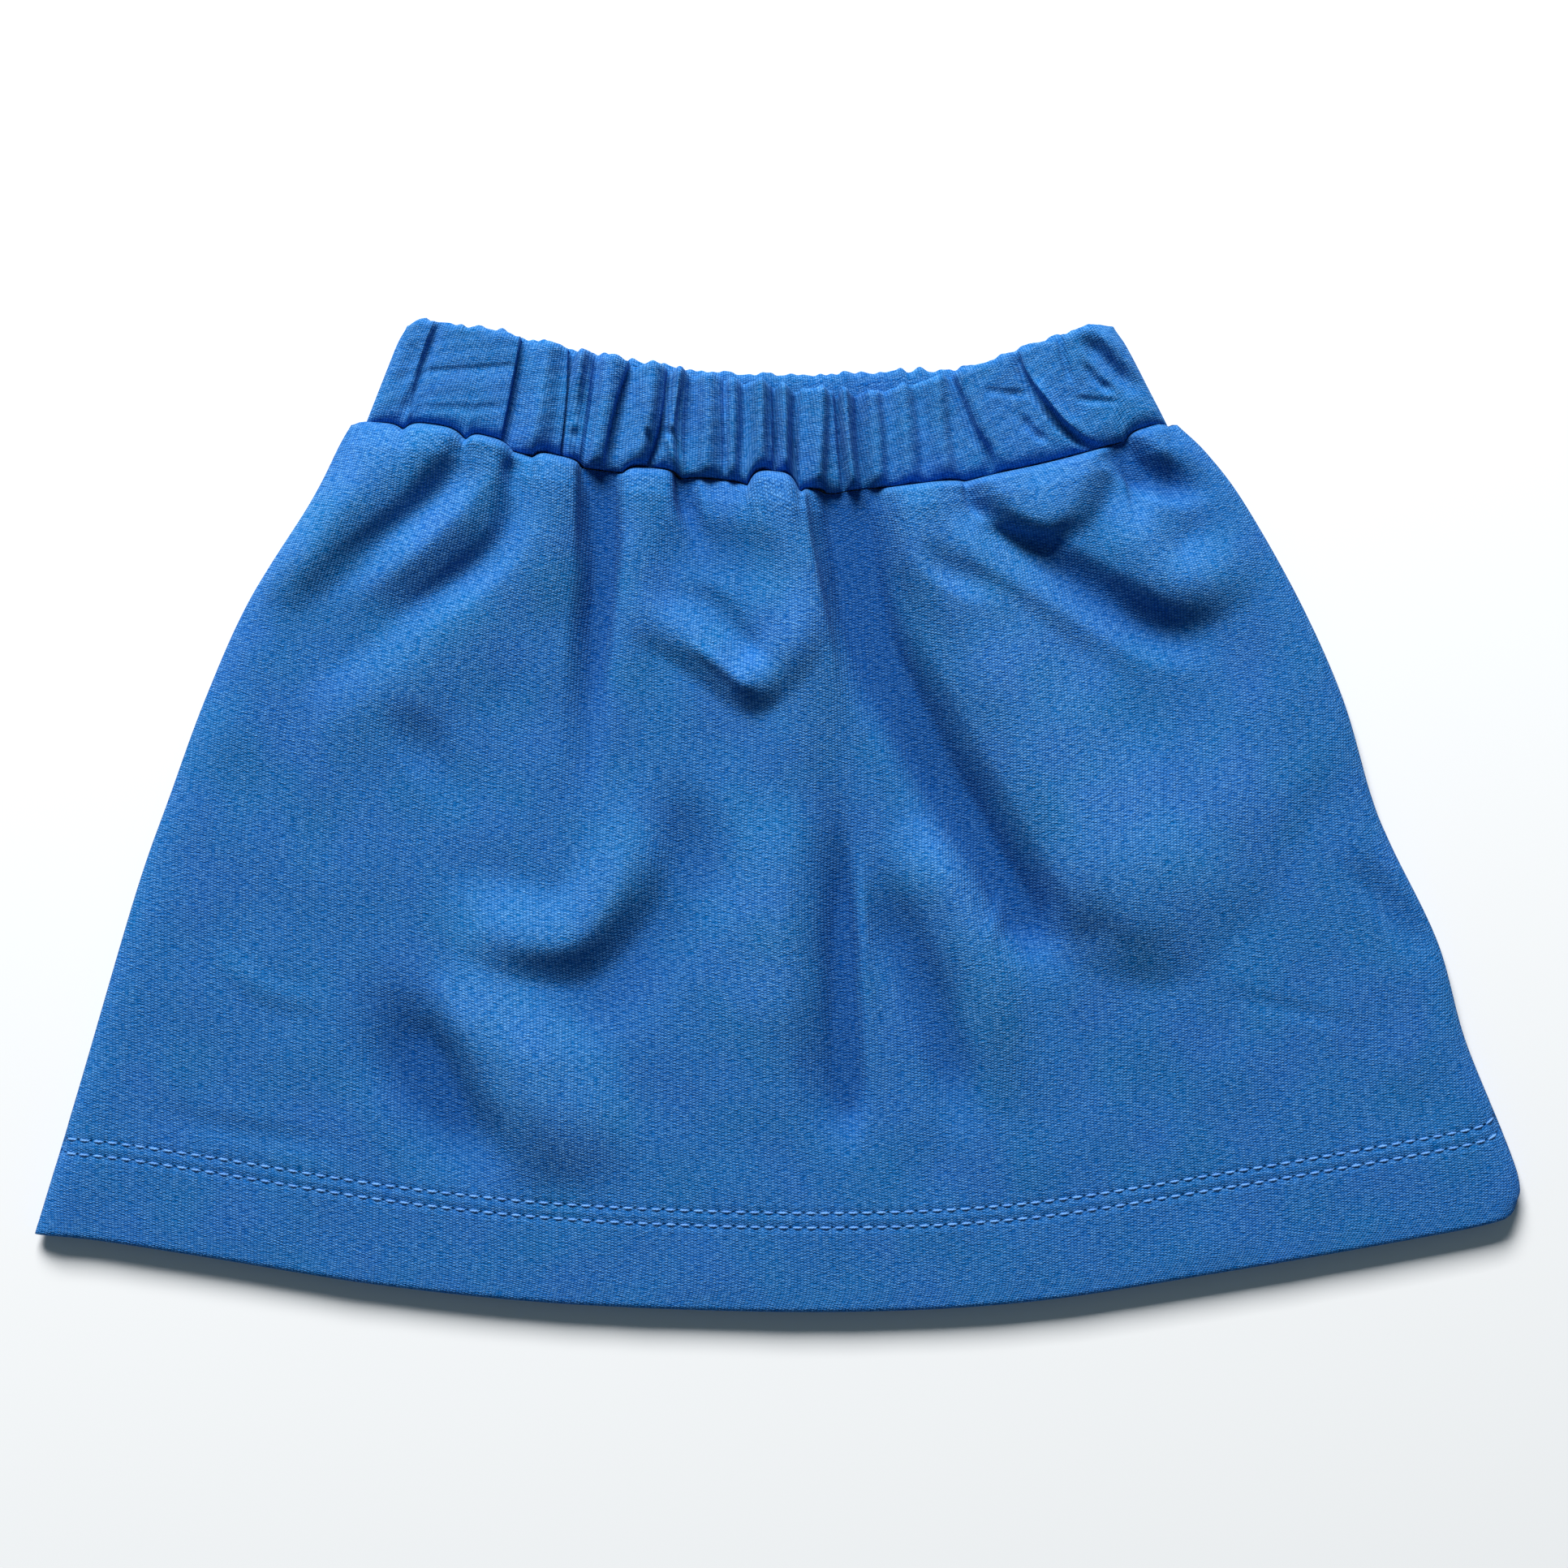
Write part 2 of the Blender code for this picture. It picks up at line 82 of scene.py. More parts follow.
lens = bpy.data.cameras.new("camera")
lens.lens = lens.sensor_width * (CAMERA_HEIGHT - EDGE_HEIGHT) / VIEW_WIDTH
camera = bpy.data.objects.new("camera", lens)
camera.location = (*VIEW_CENTRE, CAMERA_HEIGHT)
bpy.context.scene.collection.objects.link(camera)
bpy.context.scene.camera = camera
print(f"camera {CAMERA_HEIGHT:.2f} m up, lens {lens.lens:.1f} mm")

# %% [markdown]
# # The cut of the skirt
# Two flared panels and a waistband. The curves below are the edges of the pieces as they lie, and they
# are the ones that the solids have. A smooth curve through a few points is enough, because cloth has no
# corners between its seams.

# %% Sizes and edges
CLOTH = 1.3  # one layer of sweat jersey
BAND = 3.4  # two layers of cloth with the elastic between them
GAP = 0.3  # space between two pieces that are sewn together or lie on each other
HEM_DEPTH = 27.0  # turned-up cloth behind the hem
PANEL_LENGTH = 206.0  # from the waist seam to the hem at the middle
SIDE_SEAM_HEIGHT = 3.0  # where the front and back panels meet at the folded sides
BAND_SIDE = 0.6  # thickness of each half of the waistband where its rolled end closes

WAIST_SEAM = ((-107.6, 98.6), (-92.0, 97.0), (-76.0, 94.2), (-50.0, 87.7), (-16.0, 84.0), (18.0, 80.9),
              (46.0, 83.8), (72.0, 89.2), (88.0, 94.2), (101.0, 98.6))
HEM = ((-187.5, -105.7), (-172.0, -107.2), (-147.0, -111.0), (-98.0, -118.8), (-49.0, -123.5), (12.0, -125.3),
       (62.0, -122.9), (111.0, -115.5), (160.0, -107.0), (181.5, -102.6), (186.2, -99.6))
LEFT_SEAM = ((-107.6, 98.6), (-110.6, 93.4), (-118.0, 78.8), (-133.4, 54.2), (-144.4, 29.6), (-153.4, 5.0),
             (-162.0, -19.6), (-176.4, -68.8), (-187.5, -105.7))
RIGHT_SEAM = ((101.0, 98.6), (108.6, 91.3), (118.0, 78.8), (131.9, 54.2), (142.8, 29.6), (150.0, 5.0),
              (155.0, -7.5), (166.8, -32.0), (173.7, -56.5), (183.6, -81.0), (187.5, -93.0), (186.2, -99.6))
FRONT_BAND_TOP = ((-93.4, 125.3), (-73.0, 122.6), (-49.0, 116.8), (-24.0, 112.0), (0.0, 108.2), (20.0, 106.6),
                  (34.0, 108.6), (49.0, 113.0), (62.0, 118.0), (74.5, 122.1), (84.8, 124.8))
BACK_BAND_TOP = ((-93.4, 125.3), (-73.0, 122.7), (-49.0, 117.2), (-24.0, 112.9), (0.0, 111.2), (25.0, 112.0),
                 (47.0, 113.1), (62.0, 118.2), (74.5, 122.2), (84.8, 124.8))
BAND_LOW_LEFT, BAND_LOW_RIGHT = -103.8, 98.8  # the waistband's two ends along the waist seam


def smooth_path(points, share):
    """Places at these shares of the length of a smooth curve through the points."""
    p = np.array(points, float)
    p = np.vstack([2 * p[0] - p[1], p, 2 * p[-1] - p[-2]])
    t = np.linspace(0, 1, 12, endpoint=False)[:, None]
    runs = [
        b + 0.5 * ((c - a) * t + (2 * a - 5 * b + 4 * c - d) * t**2 + (3 * b - a - 3 * c + d) * t**3)
        for a, b, c, d in zip(p, p[1:], p[2:], p[3:])
    ]
    line = np.vstack([*runs, p[-2:-1]])
    length = np.concatenate([[0], np.cumsum(np.hypot(*np.diff(line, axis=0).T))])
    reach = np.asarray(share) * length[-1]
    return np.stack([np.interp(reach, length, line[:, k]) for k in (0, 1)], -1)


def height_at(points, x):
    """The y of a smooth curve through the points, at these x."""
    line = smooth_path(points, np.linspace(0, 1, 240))
    return np.interp(x, line[:, 0], line[:, 1])


def ease(t):
    """A soft step from 0 to 1."""
    t = np.clip(t, 0, 1)
    return t * t * (3 - 2 * t)


def length_of(points):
    return np.hypot(*np.diff(smooth_path(points, np.linspace(0, 1, 100)), axis=0).T).sum()


print(f"hem {length_of(HEM):.0f} mm, waist seam {length_of(WAIST_SEAM):.0f} mm along the front")

# %% [markdown]
# # Folds
# Every fold of laid cloth is a soft ridge or hollow that follows a path. One row of a table gives its
# path, its height and its width on either side, seen as one walks from the first point to the last. The
# heights are added up over the cloth. A fold that leans carries its crest, or its bottom, to the left of
# the walk, so that the cloth really laps over itself. That makes the crisp dark lines beside the pleats,
# which no plain height can.

# %% Fold kernel
Fold = namedtuple("Fold", "name path height left right start end lean", defaults=(0.0,))
BLEND = 6  # how sharply the nearest point of a fold's path counts


class Relief:
    """Heights, and sideways moves, that folds add up at a set of places."""

    def __init__(self, x, y):
        self.x, self.y = x, y
        self.height, self.move_x, self.move_y = np.zeros_like(x), np.zeros_like(x), np.zeros_like(x)

    def add(self, fold):
        reach = np.hypot(*np.diff(np.array(fold.path), axis=0).T).sum()
        steps = max(8, int(reach / (0.3 * min(fold.left, fold.right))))
        share = np.linspace(0, 1, steps)
        line = smooth_path(fold.path, share)
        step = np.gradient(line, axis=0)
        spacing = np.hypot(*step.T)
        widest = max(fold.left, fold.right)
        low, high = line.min(0) - widest, line.max(0) + widest
        near = (self.x > low[0]) & (self.x < high[0]) & (self.y > low[1]) & (self.y < high[1])
        away = np.stack([self.x[near], self.y[near]], -1)[:, None, :] - line
        distance = np.hypot(away[..., 0], away[..., 1]) + 1e-6
        turn = (step[:, 0] * away[..., 1] - step[:, 1] * away[..., 0]) / (distance * spacing)
        width = fold.right + (fold.left - fold.right) * ease(0.5 + turn)
        rise = ease(share / fold.start) if fold.start else 1.0
        fade = ease((1 - share) / fold.end) if fold.end else 1.0
        hump = np.clip(1 - (distance / width) ** 2, 0, 1) ** 2 * rise * fade
        straight = np.arange(-steps, steps + 1) * spacing.mean() / widest
        whole = (np.clip(1 - straight**2, 0, 1) ** (2 * BLEND)).sum() ** (1 / BLEND)
        hump = (hump**BLEND).sum(1) ** (1 / BLEND) / whole
        self.height[near] += fold.height * hump
        if fold.lean:
            walk = line[-1] - line[0]
            left = np.array([-walk[1], walk[0]]) / np.hypot(*walk)
            self.move_x[near] += fold.lean * hump * left[0]
            self.move_y[near] += fold.lean * hump * left[1]


def relief_of(x, y, folds):
    """The heights and moves of all these folds at these places."""
    relief = Relief(x, y)
    for fold in folds:
        relief.add(fold)
    return relief


def soft_floor(z, floor, softness=0.5):
    """The height, kept above the floor with a soft change."""
    return 0.5 * (z + floor + np.sqrt((z - floor) ** 2 + softness**2))


def rolled(inset, roll):
    """How upright and how level a wall lies this far in from a rolled side: its cosine and sine."""
    cosine = np.clip(1 - inset / roll, 0, 1)
    return cosine, np.sqrt(1 - cosine**2)


def ripple(u, v, shortest, longest, count, seed):
    """Faint unevenness of cloth between -1 and 1: a few seeded waves in every direction."""
    chance = np.random.default_rng(seed)
    total = np.zeros_like(u)
    for _ in range(count):
        angle, phase = chance.uniform(0, 2 * np.pi, 2)
        wave = 2 * np.pi / chance.uniform(shortest, longest)
        total += np.sin(wave * (u * np.cos(angle) + v * np.sin(angle)) + phase)
    return total / math.sqrt(count)


print("a fold is a row of", ", ".join(Fold._fields))

# %% [markdown]
# # From rows of points to a wall of cloth
# Cloth has two faces and a thickness, so each piece is a closed wall. Its outer face is a fine grid,
# because all the folds show there. Its inner face keeps every sixth row, because nothing of it shows but
# its edges. The two are sewn along the top and bottom rows and closed at the sides. Each point also keeps
# its place on the flat cloth, in millimetres, and the knit of the material follows that instead of the
# picture plane.

# %% Wall maker
Skin = namedtuple("Skin", "points cloth")  # rows of points, and the same points' places on the flat cloth


def wall_object(name, outer, inner, matches, material):
    """A closed wall from an outer and an inner skin. matches gives the outer row beside each inner row."""
    columns = outer.points.shape[1]
    outer_rows, inner_rows = len(outer.points), len(inner.points)
    points = np.concatenate([outer.points.reshape(-1, 3), inner.points.reshape(-1, 3)]) * MM
    cloth = np.concatenate([outer.cloth.reshape(-1, 3), inner.cloth.reshape(-1, 3)])
    at_outer = np.arange(outer_rows * columns).reshape(outer_rows, columns)
    at_inner = outer_rows * columns + np.arange(inner_rows * columns).reshape(inner_rows, columns)

    def quads(upper, lower):
        return np.stack([upper[..., :-1], lower[..., :-1], lower[..., 1:], upper[..., 1:]], -1).reshape(-1, 4)

    faces = [
        quads(at_outer[:-1], at_outer[1:]),
        quads(at_inner[1:], at_inner[:-1]),
        quads(at_inner[0], at_outer[0]),
        quads(at_outer[-1], at_inner[-1]),
    ]
    faces = np.concatenate(faces).tolist()
    bounds = [0, *matches[1:-1], outer_rows - 1]
    for end, turned in ((0, False), (-1, True)):
        for k, (first, last) in enumerate(zip(bounds, bounds[1:])):
            side = [*at_outer[first : last + 1, end], at_inner[k + 1, end], at_inner[k, end]]
            faces.append(side if turned else side[::-1])
    mesh = bpy.data.meshes.new(name)
    mesh.from_pydata(points.tolist(), [], faces)
    mesh.attributes.new("cloth", "FLOAT_VECTOR", "POINT").data.foreach_set("vector", cloth.ravel())
    mesh.materials.append(material)
    mesh.shade_smooth()
    mesh.validate()
    piece = bpy.data.objects.new(name, mesh)
    bpy.context.scene.collection.objects.link(piece)
    return piece


def report(piece):
    """Prints the size of a finished piece."""
    points = np.empty(len(piece.data.vertices) * 3)
    piece.data.vertices.foreach_get("co", points)
    low, high = points.reshape(-1, 3).min(0) / MM, points.reshape(-1, 3).max(0) / MM
    piece.data.calc_loop_triangles()
    size = " x ".join(f"{side:.1f}" for side in high - low)
    print(f"{piece.name}: {size} mm, lowest {low[2]:.2f}, {len(piece.data.loop_triangles)} triangles")


# %% [markdown]
# # Shader maths in plain Python
# A knit is a formula, and a formula drawn as more than a hundred separate nodes is hard to read. A small
# class wraps a socket, so that an expression such as 1 - depth * 0.4 adds the Math nodes itself. Any other
# node comes from one method.

# %% Finish and Wire
def add_node(tree, kind, settings, inputs):
    """Adds a node: first its settings, then the values or links of its sockets, by name or number."""
    made = tree.nodes.new(kind)
    for name, value in (settings or {}).items():
        setattr(made, name, value)
    for name, value in (inputs or {}).items():
        if isinstance(value, bpy.types.NodeSocket):
            tree.links.new(value, made.inputs[name])
        else:
            made.inputs[name].default_value = value
    return made


class Wire:
    """A number, colour or vector on its way through a material. Arithmetic on it adds Math nodes."""

    def __init__(self, finish, socket):
        self.finish, self.socket = finish, socket

    def maths(self, operation, *values):
        return self.finish.node("ShaderNodeMath", {"operation": operation}, dict(enumerate(values)))

    def __add__(self, other):
        return self.maths("ADD", self, other)

    def __radd__(self, other):
        return self.maths("ADD", other, self)

    def __sub__(self, other):
        return self.maths("SUBTRACT", self, other)

    def __rsub__(self, other):
        return self.maths("SUBTRACT", other, self)

    def __mul__(self, other):
        return self.maths("MULTIPLY", self, other)

    def __rmul__(self, other):
        return self.maths("MULTIPLY", other, self)

    def __truediv__(self, other):
        return self.maths("DIVIDE", self, other)

    def __pow__(self, other):
        return self.maths("POWER", self, other)

    def floor(self):
        return self.maths("FLOOR", self)

    def fraction(self):
        return self.maths("FRACT", self)

    def size(self):
        return self.maths("ABSOLUTE", self)

    def clipped(self):
        return self.maths("MINIMUM", self.maths("MAXIMUM", self, 0.0), 1.0)


class Finish:
    """A material while it is being made. Its shader's constants are set on the sockets themselves."""

    def __init__(self, name, constants):
        self.material = bpy.data.materials.new(name)
        self.material.use_nodes = True
        self.tree = self.material.node_tree
        self.shader = self.tree.nodes["Principled BSDF"]
        for socket, value in constants.items():
            self.shader.inputs[socket].default_value = value

    def node(self, kind, settings=None, inputs=None, output=0):
        """Adds a node and gives one of its outputs as a wire."""
        plain = {name: getattr(value, "socket", value) for name, value in (inputs or {}).items()}
        return Wire(self, add_node(self.tree, kind, settings, plain).outputs[output])

    def mix(self, share, first, second):
        """A colour between two colours."""
        return self.node("ShaderNodeMix", {"data_type": "RGBA"}, {0: share, 6: first, 7: second}, output=2)

    def noise(self, vector, scale, detail=2.0, roughness=0.5):
        inputs = {"Vector": vector, "Scale": scale, "Detail": detail, "Roughness": roughness}
        return self.node("ShaderNodeTexNoise", {}, inputs)

    def join(self, x, y, z=0.0):
        return self.node("ShaderNodeCombineXYZ", {}, {0: x, 1: y, 2: z})

    def feed(self, wires):
        """Joins wires to the shader's sockets."""
        for socket, wire in wires.items():
            self.tree.links.new(wire.socket, self.shader.inputs[socket])
        return self.material


print("a wire turns arithmetic into Math nodes, and a finish starts from a Principled BSDF")

# %% [markdown]
# # Sweat jersey
# The cloth is a plain knit: columns of V-shaped loops, called wales, 0.8 mm apart, in courses 0.65 mm
# high. A wave texture would make even stripes, so the loops are drawn by formula: a column that is dark
# at its sides, cut into loops by courses that dip to the middle. No two loops take the dye alike, the
# yarn has thick and thin stretches that show as short pale dashes along a course, and over a few
# centimetres the shade drifts between a greener and a more violet blue. Light and shade are also painted
# by the height of the folds: a painted highlight makes the crests paler, and painted shade makes the
# hollows a deeper blue.

# %% Jersey material
WALE, COURSE = 0.8, 0.65  # mm
DASHES = ((0.45, 1.9), (0.8, 2.6))  # changes of the yarn's thick and thin stretches per mm, along and across
STITCH_PITCH = 3.5  # mm from one needle hole to the next
STITCH_ROWS = (21.6, 25.3)  # mm up from the hem's edge
GAP_BLUE = (0.0004, 0.026, 0.150, 1.0)
# painted shade: the deeper blue that the hollows of the folds are mixed towards
HOLLOW_SHADE_BLUE = (0.001, 0.070, 0.300, 1.0)
GREEN_BLUE = (0.003, 0.152, 0.455, 1.0)
VIOLET_BLUE = (0.012, 0.138, 0.490, 1.0)
PALE_BLUE = (0.145, 0.385, 0.765, 1.0)
HOLE_SHARPNESS, PUCKER_REACH = 5.0, 2.4  # of a needle hole per square mm, and of the pucker round it in mm
LOWEST_HOLLOW = 4.0  # mm below a panel's own level, where the painted shade of the hollows is deepest
HOLLOW_SHADE_REACH, CREST_HIGHLIGHT_REACH = 5.0, 7.0  # mm of lift in which the painted shade of a hollow clears up, and a crest's painted highlight grows
LOOP_HEIGHT = 0.22 * MM


def hem_marks(u, v):
    """Needle holes, and the small puckers that the stitches pull, along both rows of the hem."""
    step = u / STITCH_PITCH
    beside = ((step.fraction() - 0.5) * STITCH_PITCH) ** 2
    wave = (step.fraction() - 0.5).size() * 2
    holes, puckers = 0.0, 0.0
    for row in STITCH_ROWS:
        off = v - row
        holes = holes + (1.0 - (beside + off * off) * HOLE_SHARPNESS).clipped()
        puckers = puckers + wave * (1.0 - (off / PUCKER_REACH) ** 2).clipped()
    return holes.clipped(), puckers


def jersey(name, has_hem, wale_depth, course_depth):
    nap = {"Roughness": 0.85, "Specular IOR Level": 0.05, "Sheen Weight": 0.02, "Sheen Roughness": 0.4}
    finish = Finish(name, nap)
    cloth = finish.node("ShaderNodeAttribute", {"attribute_name": "cloth"}, output="Vector")
    apart = finish.node("ShaderNodeSeparateXYZ", {}, {0: cloth})
    # lift, the third number, is the height of the folds; it sets the painted shade of the hollows and the
    # painted highlight of the crests
    u, v, lift = (Wire(finish, apart.socket.node.outputs[k]) for k in range(3))
    flat = finish.join(u, v)
    wander = finish.noise(flat, 0.06) - 0.5
    wale = (u + 1.6 * wander) / WALE
    column = wale.floor()
    side = (wale.fraction() - 0.5).size()
    course = (v + 1.2 * wander) / COURSE + 0.8 * side + 0.37 * column
    row = course.floor()
    rounded = 1 - ((course.fraction() - 0.5) * course_depth) ** 2
    loop = ((1.3 - wale_depth * side).clipped() * rounded).clipped()
    loop_place = {"Vector": finish.join(column, row)}
    chance = finish.node("ShaderNodeTexWhiteNoise", {"noise_dimensions": "2D"}, loop_place)
    streaks = [finish.noise(finish.join(u * along, v * across), 1.0, detail=1.0) for along, across in DASHES]
    dash = 0.5 * (streaks[0] + streaks[1])
    fleck = finish.noise(flat, 1.1, detail=2.0, roughness=0.7)
    patch = finish.noise(flat, 0.045, detail=3.0)
    hue = finish.mix(((patch - 0.36) * 3.6).clipped(), GREEN_BLUE, VIOLET_BLUE)
    # painted shade: the lower a place lies among the folds, the more of the deeper hollow blue it takes
    body = finish.mix(((lift + LOWEST_HOLLOW) / HOLLOW_SHADE_REACH).clipped(), HOLLOW_SHADE_BLUE, hue)
    dark = finish.mix((0.28 + 1.2 * loop + 1.0 * (dash - 0.5)).clipped(), GAP_BLUE, body)
    light = loop * (0.18 + 0.42 * chance + 4.4 * (dash - 0.47) + 0.3 * (fleck - 0.45))
    # painted highlight: the higher a place lies on a fold's crest, the more its loops are mixed towards pale
    # blue
    pale = 0.36 + 0.5 * ((lift + LOWEST_HOLLOW) / CREST_HIGHLIGHT_REACH).clipped()
    colour = finish.mix((light * pale).clipped(), dark, PALE_BLUE)
    relief = loop * (0.7 + 0.6 * chance) + 2.2 * dash
    if has_hem:
        holes, puckers = hem_marks(u, v)
        colour = finish.mix(holes * 0.6, colour, GAP_BLUE)
        relief = relief + 1.6 * puckers - 2.0 * holes
    bump = {"Height": relief, "Strength": 0.75, "Distance": LOOP_HEIGHT}
    return finish.feed({"Base Color": colour, "Normal": finish.node("ShaderNodeBump", {}, bump)})


panel_jersey = jersey("panel jersey", True, 1.9, 1.9)
band_jersey = jersey("waistband jersey", False, 2.1, 1.8)
print("jersey:", len(panel_jersey.node_tree.nodes), "nodes")

# %% [markdown]
# # The plan of a panel
# Four edges are known, so the places between them come from a Coons patch: straight shares across,
# straight shares down, minus what the corners count twice. From the same grid the flat cloth is measured:
# how far each point is from the hem, and how far from the middle of the panel. The panel is cut 255 mm
# wide at the waist and gathered into 208, so the cloth's own measure runs faster than the plan there.

# %% Panel plan
CUT_WAIST, CUT_HEM = 255.0, 375.0  # widths of a panel's flat cut
PANEL_WIDTH = 320.0  # as it lies, at half its length
ROLL_TURN = 7  # columns on each rolled side


def panel_place(across, down):
    """The plan of a panel at shares across and down it."""
    top, hem = smooth_path(WAIST_SEAM, across), smooth_path(HEM, across)
    left, right = smooth_path(LEFT_SEAM, down), smooth_path(RIGHT_SEAM, down)
    a, d = across[..., None], down[..., None]
    corners = (1 - d) * ((1 - a) * np.array(WAIST_SEAM[0]) + a * np.array(WAIST_SEAM[-1]))
    corners = corners + d * ((1 - a) * np.array(HEM[0]) + a * np.array(HEM[-1]))
    place = (1 - d) * top + d * hem + (1 - a) * left + a * right - corners
    return place[..., 0], place[..., 1]


def from_hem(x, y):
    """Millimetres from the hem's edge to each row of a grid, along its columns."""
    steps = np.hypot(np.diff(x, axis=0), np.diff(y, axis=0))
    return np.concatenate([np.cumsum(steps[::-1], axis=0)[::-1], np.zeros((1, x.shape[1]))])


def side_shares(count, inset, width):
    """Columns of a wall: close together on the rolled sides, even between them."""
    turn = inset / width * (1 - np.cos(np.linspace(0, np.pi / 2, ROLL_TURN)))
    middle = np.linspace(turn[-1], 1 - turn[-1], count - 2 * (ROLL_TURN - 1))
    return np.concatenate([turn[:-1], middle, 1 - turn[-2::-1]])


def flat_cloth(across, down, hem_distance):
    """The places on the flat cut: across from its middle, and up from its hem."""
    cut = CUT_WAIST + (CUT_HEM - CUT_WAIST) * down
    return np.stack([(across - 0.5) * cut, hem_distance, np.zeros_like(across)], -1)


# %% [markdown]
# # The front panel
# It is the piece that the eye meets: gathered into the waistband in soft pleats that fan out, with one
# long pleat down its middle, a belly of cloth that hangs between two gathers on the right, and two
# crescents below where the cloth was patted down. Cloth simulation would give folds, but not these ones,
# so the folds are placed from a table and the computer only blends them.

# %% Folds of the front
Level = namedtuple("Level", "down height roll")  # share of the length, height, width of the rolled side
FRONT_LEVELS = (
    Level(0.00, 6.4, 9.0),
    Level(0.03, 8.4, 10.0),
    Level(0.10, 9.2, 12.0),
    Level(0.25, 8.6, 13.0),
    Level(0.50, 7.6, 11.0),
    Level(0.80, 6.4, 8.0),
    Level(1.00, 5.5, 6.0),
)
FRONT_FOLDS = (
    Fold("shoulder ridge", ((-80, 97), (-97, 85), (-114, 72), (-132, 58)), 5.0, 15, 18, 0.0, 0.25),
    Fold("shoulder hollow", ((-76, 90), (-93, 72), (-114, 56)), -2.2, 8, 8, 0.0, 0.4),
    Fold("second ridge", ((-72, 93), (-77, 80), (-90, 68), (-110, 56)), 4.6, 13, 9, 0.0, 0.4),
    Fold("second hollow", ((-65, 89), (-68, 70), (-82, 57), (-98, 47)), -2.4, 7, 6, 0.0, 0.5),
    Fold("third ridge", ((-60, 92), (-63, 70), (-78, 50), (-108, 27), (-124, 20)), 2.8, 22, 12, 0.0, 0.3),
    Fold("hip dimple", ((-102, 24), (-92, 20), (-84, 10), (-80, -2)), -1.3, 9, 8, 0.4, 0.5),
    Fold("left groove", ((-43.0, 92), (-42.5, 66), (-45, 40), (-48, -6)), -6.4, 4.5, 9.0, 0.0, 0.7),
    Fold("left pleat", ((-56, 92), (-56, 60), (-57, 28)), 1.8, 9, 12, 0.0, 0.6),
    Fold("inner pleat", ((-36, 92), (-36, 60), (-41, 20)), 2.0, 10, 6, 0.0, 0.6),
    Fold("short notch", ((-23, 88), (-21.5, 77), (-18, 66)), -3.8, 3.5, 5.5, 0.0, 0.6),
    Fold("dish", ((-30, 68), (-8, 66), (4, 56)), -1.8, 9, 12, 0.3, 0.3),
    Fold("pointed ridge", ((-38, 52), (-28, 47.5), (-17, 40), (-5.5, 31)), 3.6, 10, 8, 0.5, 0.1),
    Fold("point's right side", ((-6.5, 32), (0, 38), (6, 47), (9, 58)), 2.4, 9, 9, 0.1, 0.6),
    Fold("centre pleat", ((3, 92), (4, 70), (7, 50), (10, 26), (12, -4)), 6.0, 13, 16, 0.0, 0.6),
    Fold("centre hollow", ((20, 88), (21, 66), (26, 42), (38, 18), (53, -8), (68, -34)),
         -6.6, 12, 13, 0.0, 0.1),
    Fold("centre slope", ((-1, 4), (0, -28), (5, -62)), 3.0, 18, 24, 0.4, 0.3),
    Fold("centre valley", ((16, 12), (17.5, -18), (19, -46), (20.5, -80)), -4.8, 4.0, 18, 0.55, 0.15),
    Fold("long ridge", ((37, 94), (42, 63), (50, 38), (63, 12), (74, -8), (86, -27)), 7.2, 34, 20, 0.0, 0.1),
    Fold("ridge's shoulder", ((30, 94), (33, 70), (38, 56), (46, 42)), 3.0, 12, 7, 0.0, 0.5),
    Fold("rib hollow", ((35, 69), (41, 62.5), (48, 58), (56, 55)), -2.2, 5.5, 5, 0.4, 0.5),
    Fold("upper rib", ((44, 74), (60, 61), (80, 46), (102, 34)), 2.0, 8, 7, 0.1, 0.6),
    Fold("hanging belly", ((48, 92), (54, 79), (64, 74), (74, 78), (81, 94)), 4.0, 17, 8, 0.0, 0.0),
    Fold("belly hollow", ((46, 84), (55, 71), (69, 63), (84, 54), (98, 46), (114, 45)),
         -4.0, 8, 10, 0.1, 0.3),
    Fold("right belly", ((93, 80), (91, 68), (97, 59), (108, 59), (116, 66)), 4.8, 14, 12, 0.3, 0.35),
    Fold("shoulder dent", ((84, 91), (94, 84), (107, 80)), -5.4, 9, 5, 0.0, 0.4),
    Fold("left crescent", ((-82, -22), (-67, -29), (-54, -32), (-43, -24), (-36, -8), (-32, 8)),
         3.8, 15, 12, 0.3, 0.4),
    Fold("left crescent's foot", ((-78, -35), (-63, -41), (-47, -39), (-34, -25), (-27, -4)),
         -2.8, 9, 22, 0.3, 0.4),
    Fold("low ridge", ((32, -2), (44, -22), (54, -46), (60, -74)), 5.0, 13, 13, 0.25, 0.45),
    Fold("low ridge's foot", ((22, -12), (33, -36), (42, -58), (48, -84)), -3.2, 9, 9, 0.3, 0.3),
    Fold("right crescent", ((80, -20), (90, -29), (104, -22), (119, 3), (131, 28)), 2.3, 34, 17, 0.15, 0.4),
    Fold("low left ridge", ((-80, -36), (-69, -60), (-58, -82), (-50, -100)), 6.2, 28, 17, 0.3, 0.3),
    Fold("low left hollow", ((-96, -46), (-86, -66), (-73, -94)), -5.2, 13, 20, 0.35, 0.25),
    Fold("middle shade", ((-30, 8), (-22, -8), (-10, -26)), -1.6, 14, 12, 0.4, 0.4),
    Fold("right dent", ((142, -10), (155, -22), (168, -36)), -1.6, 7, 7, 0.4, 0.3),
)
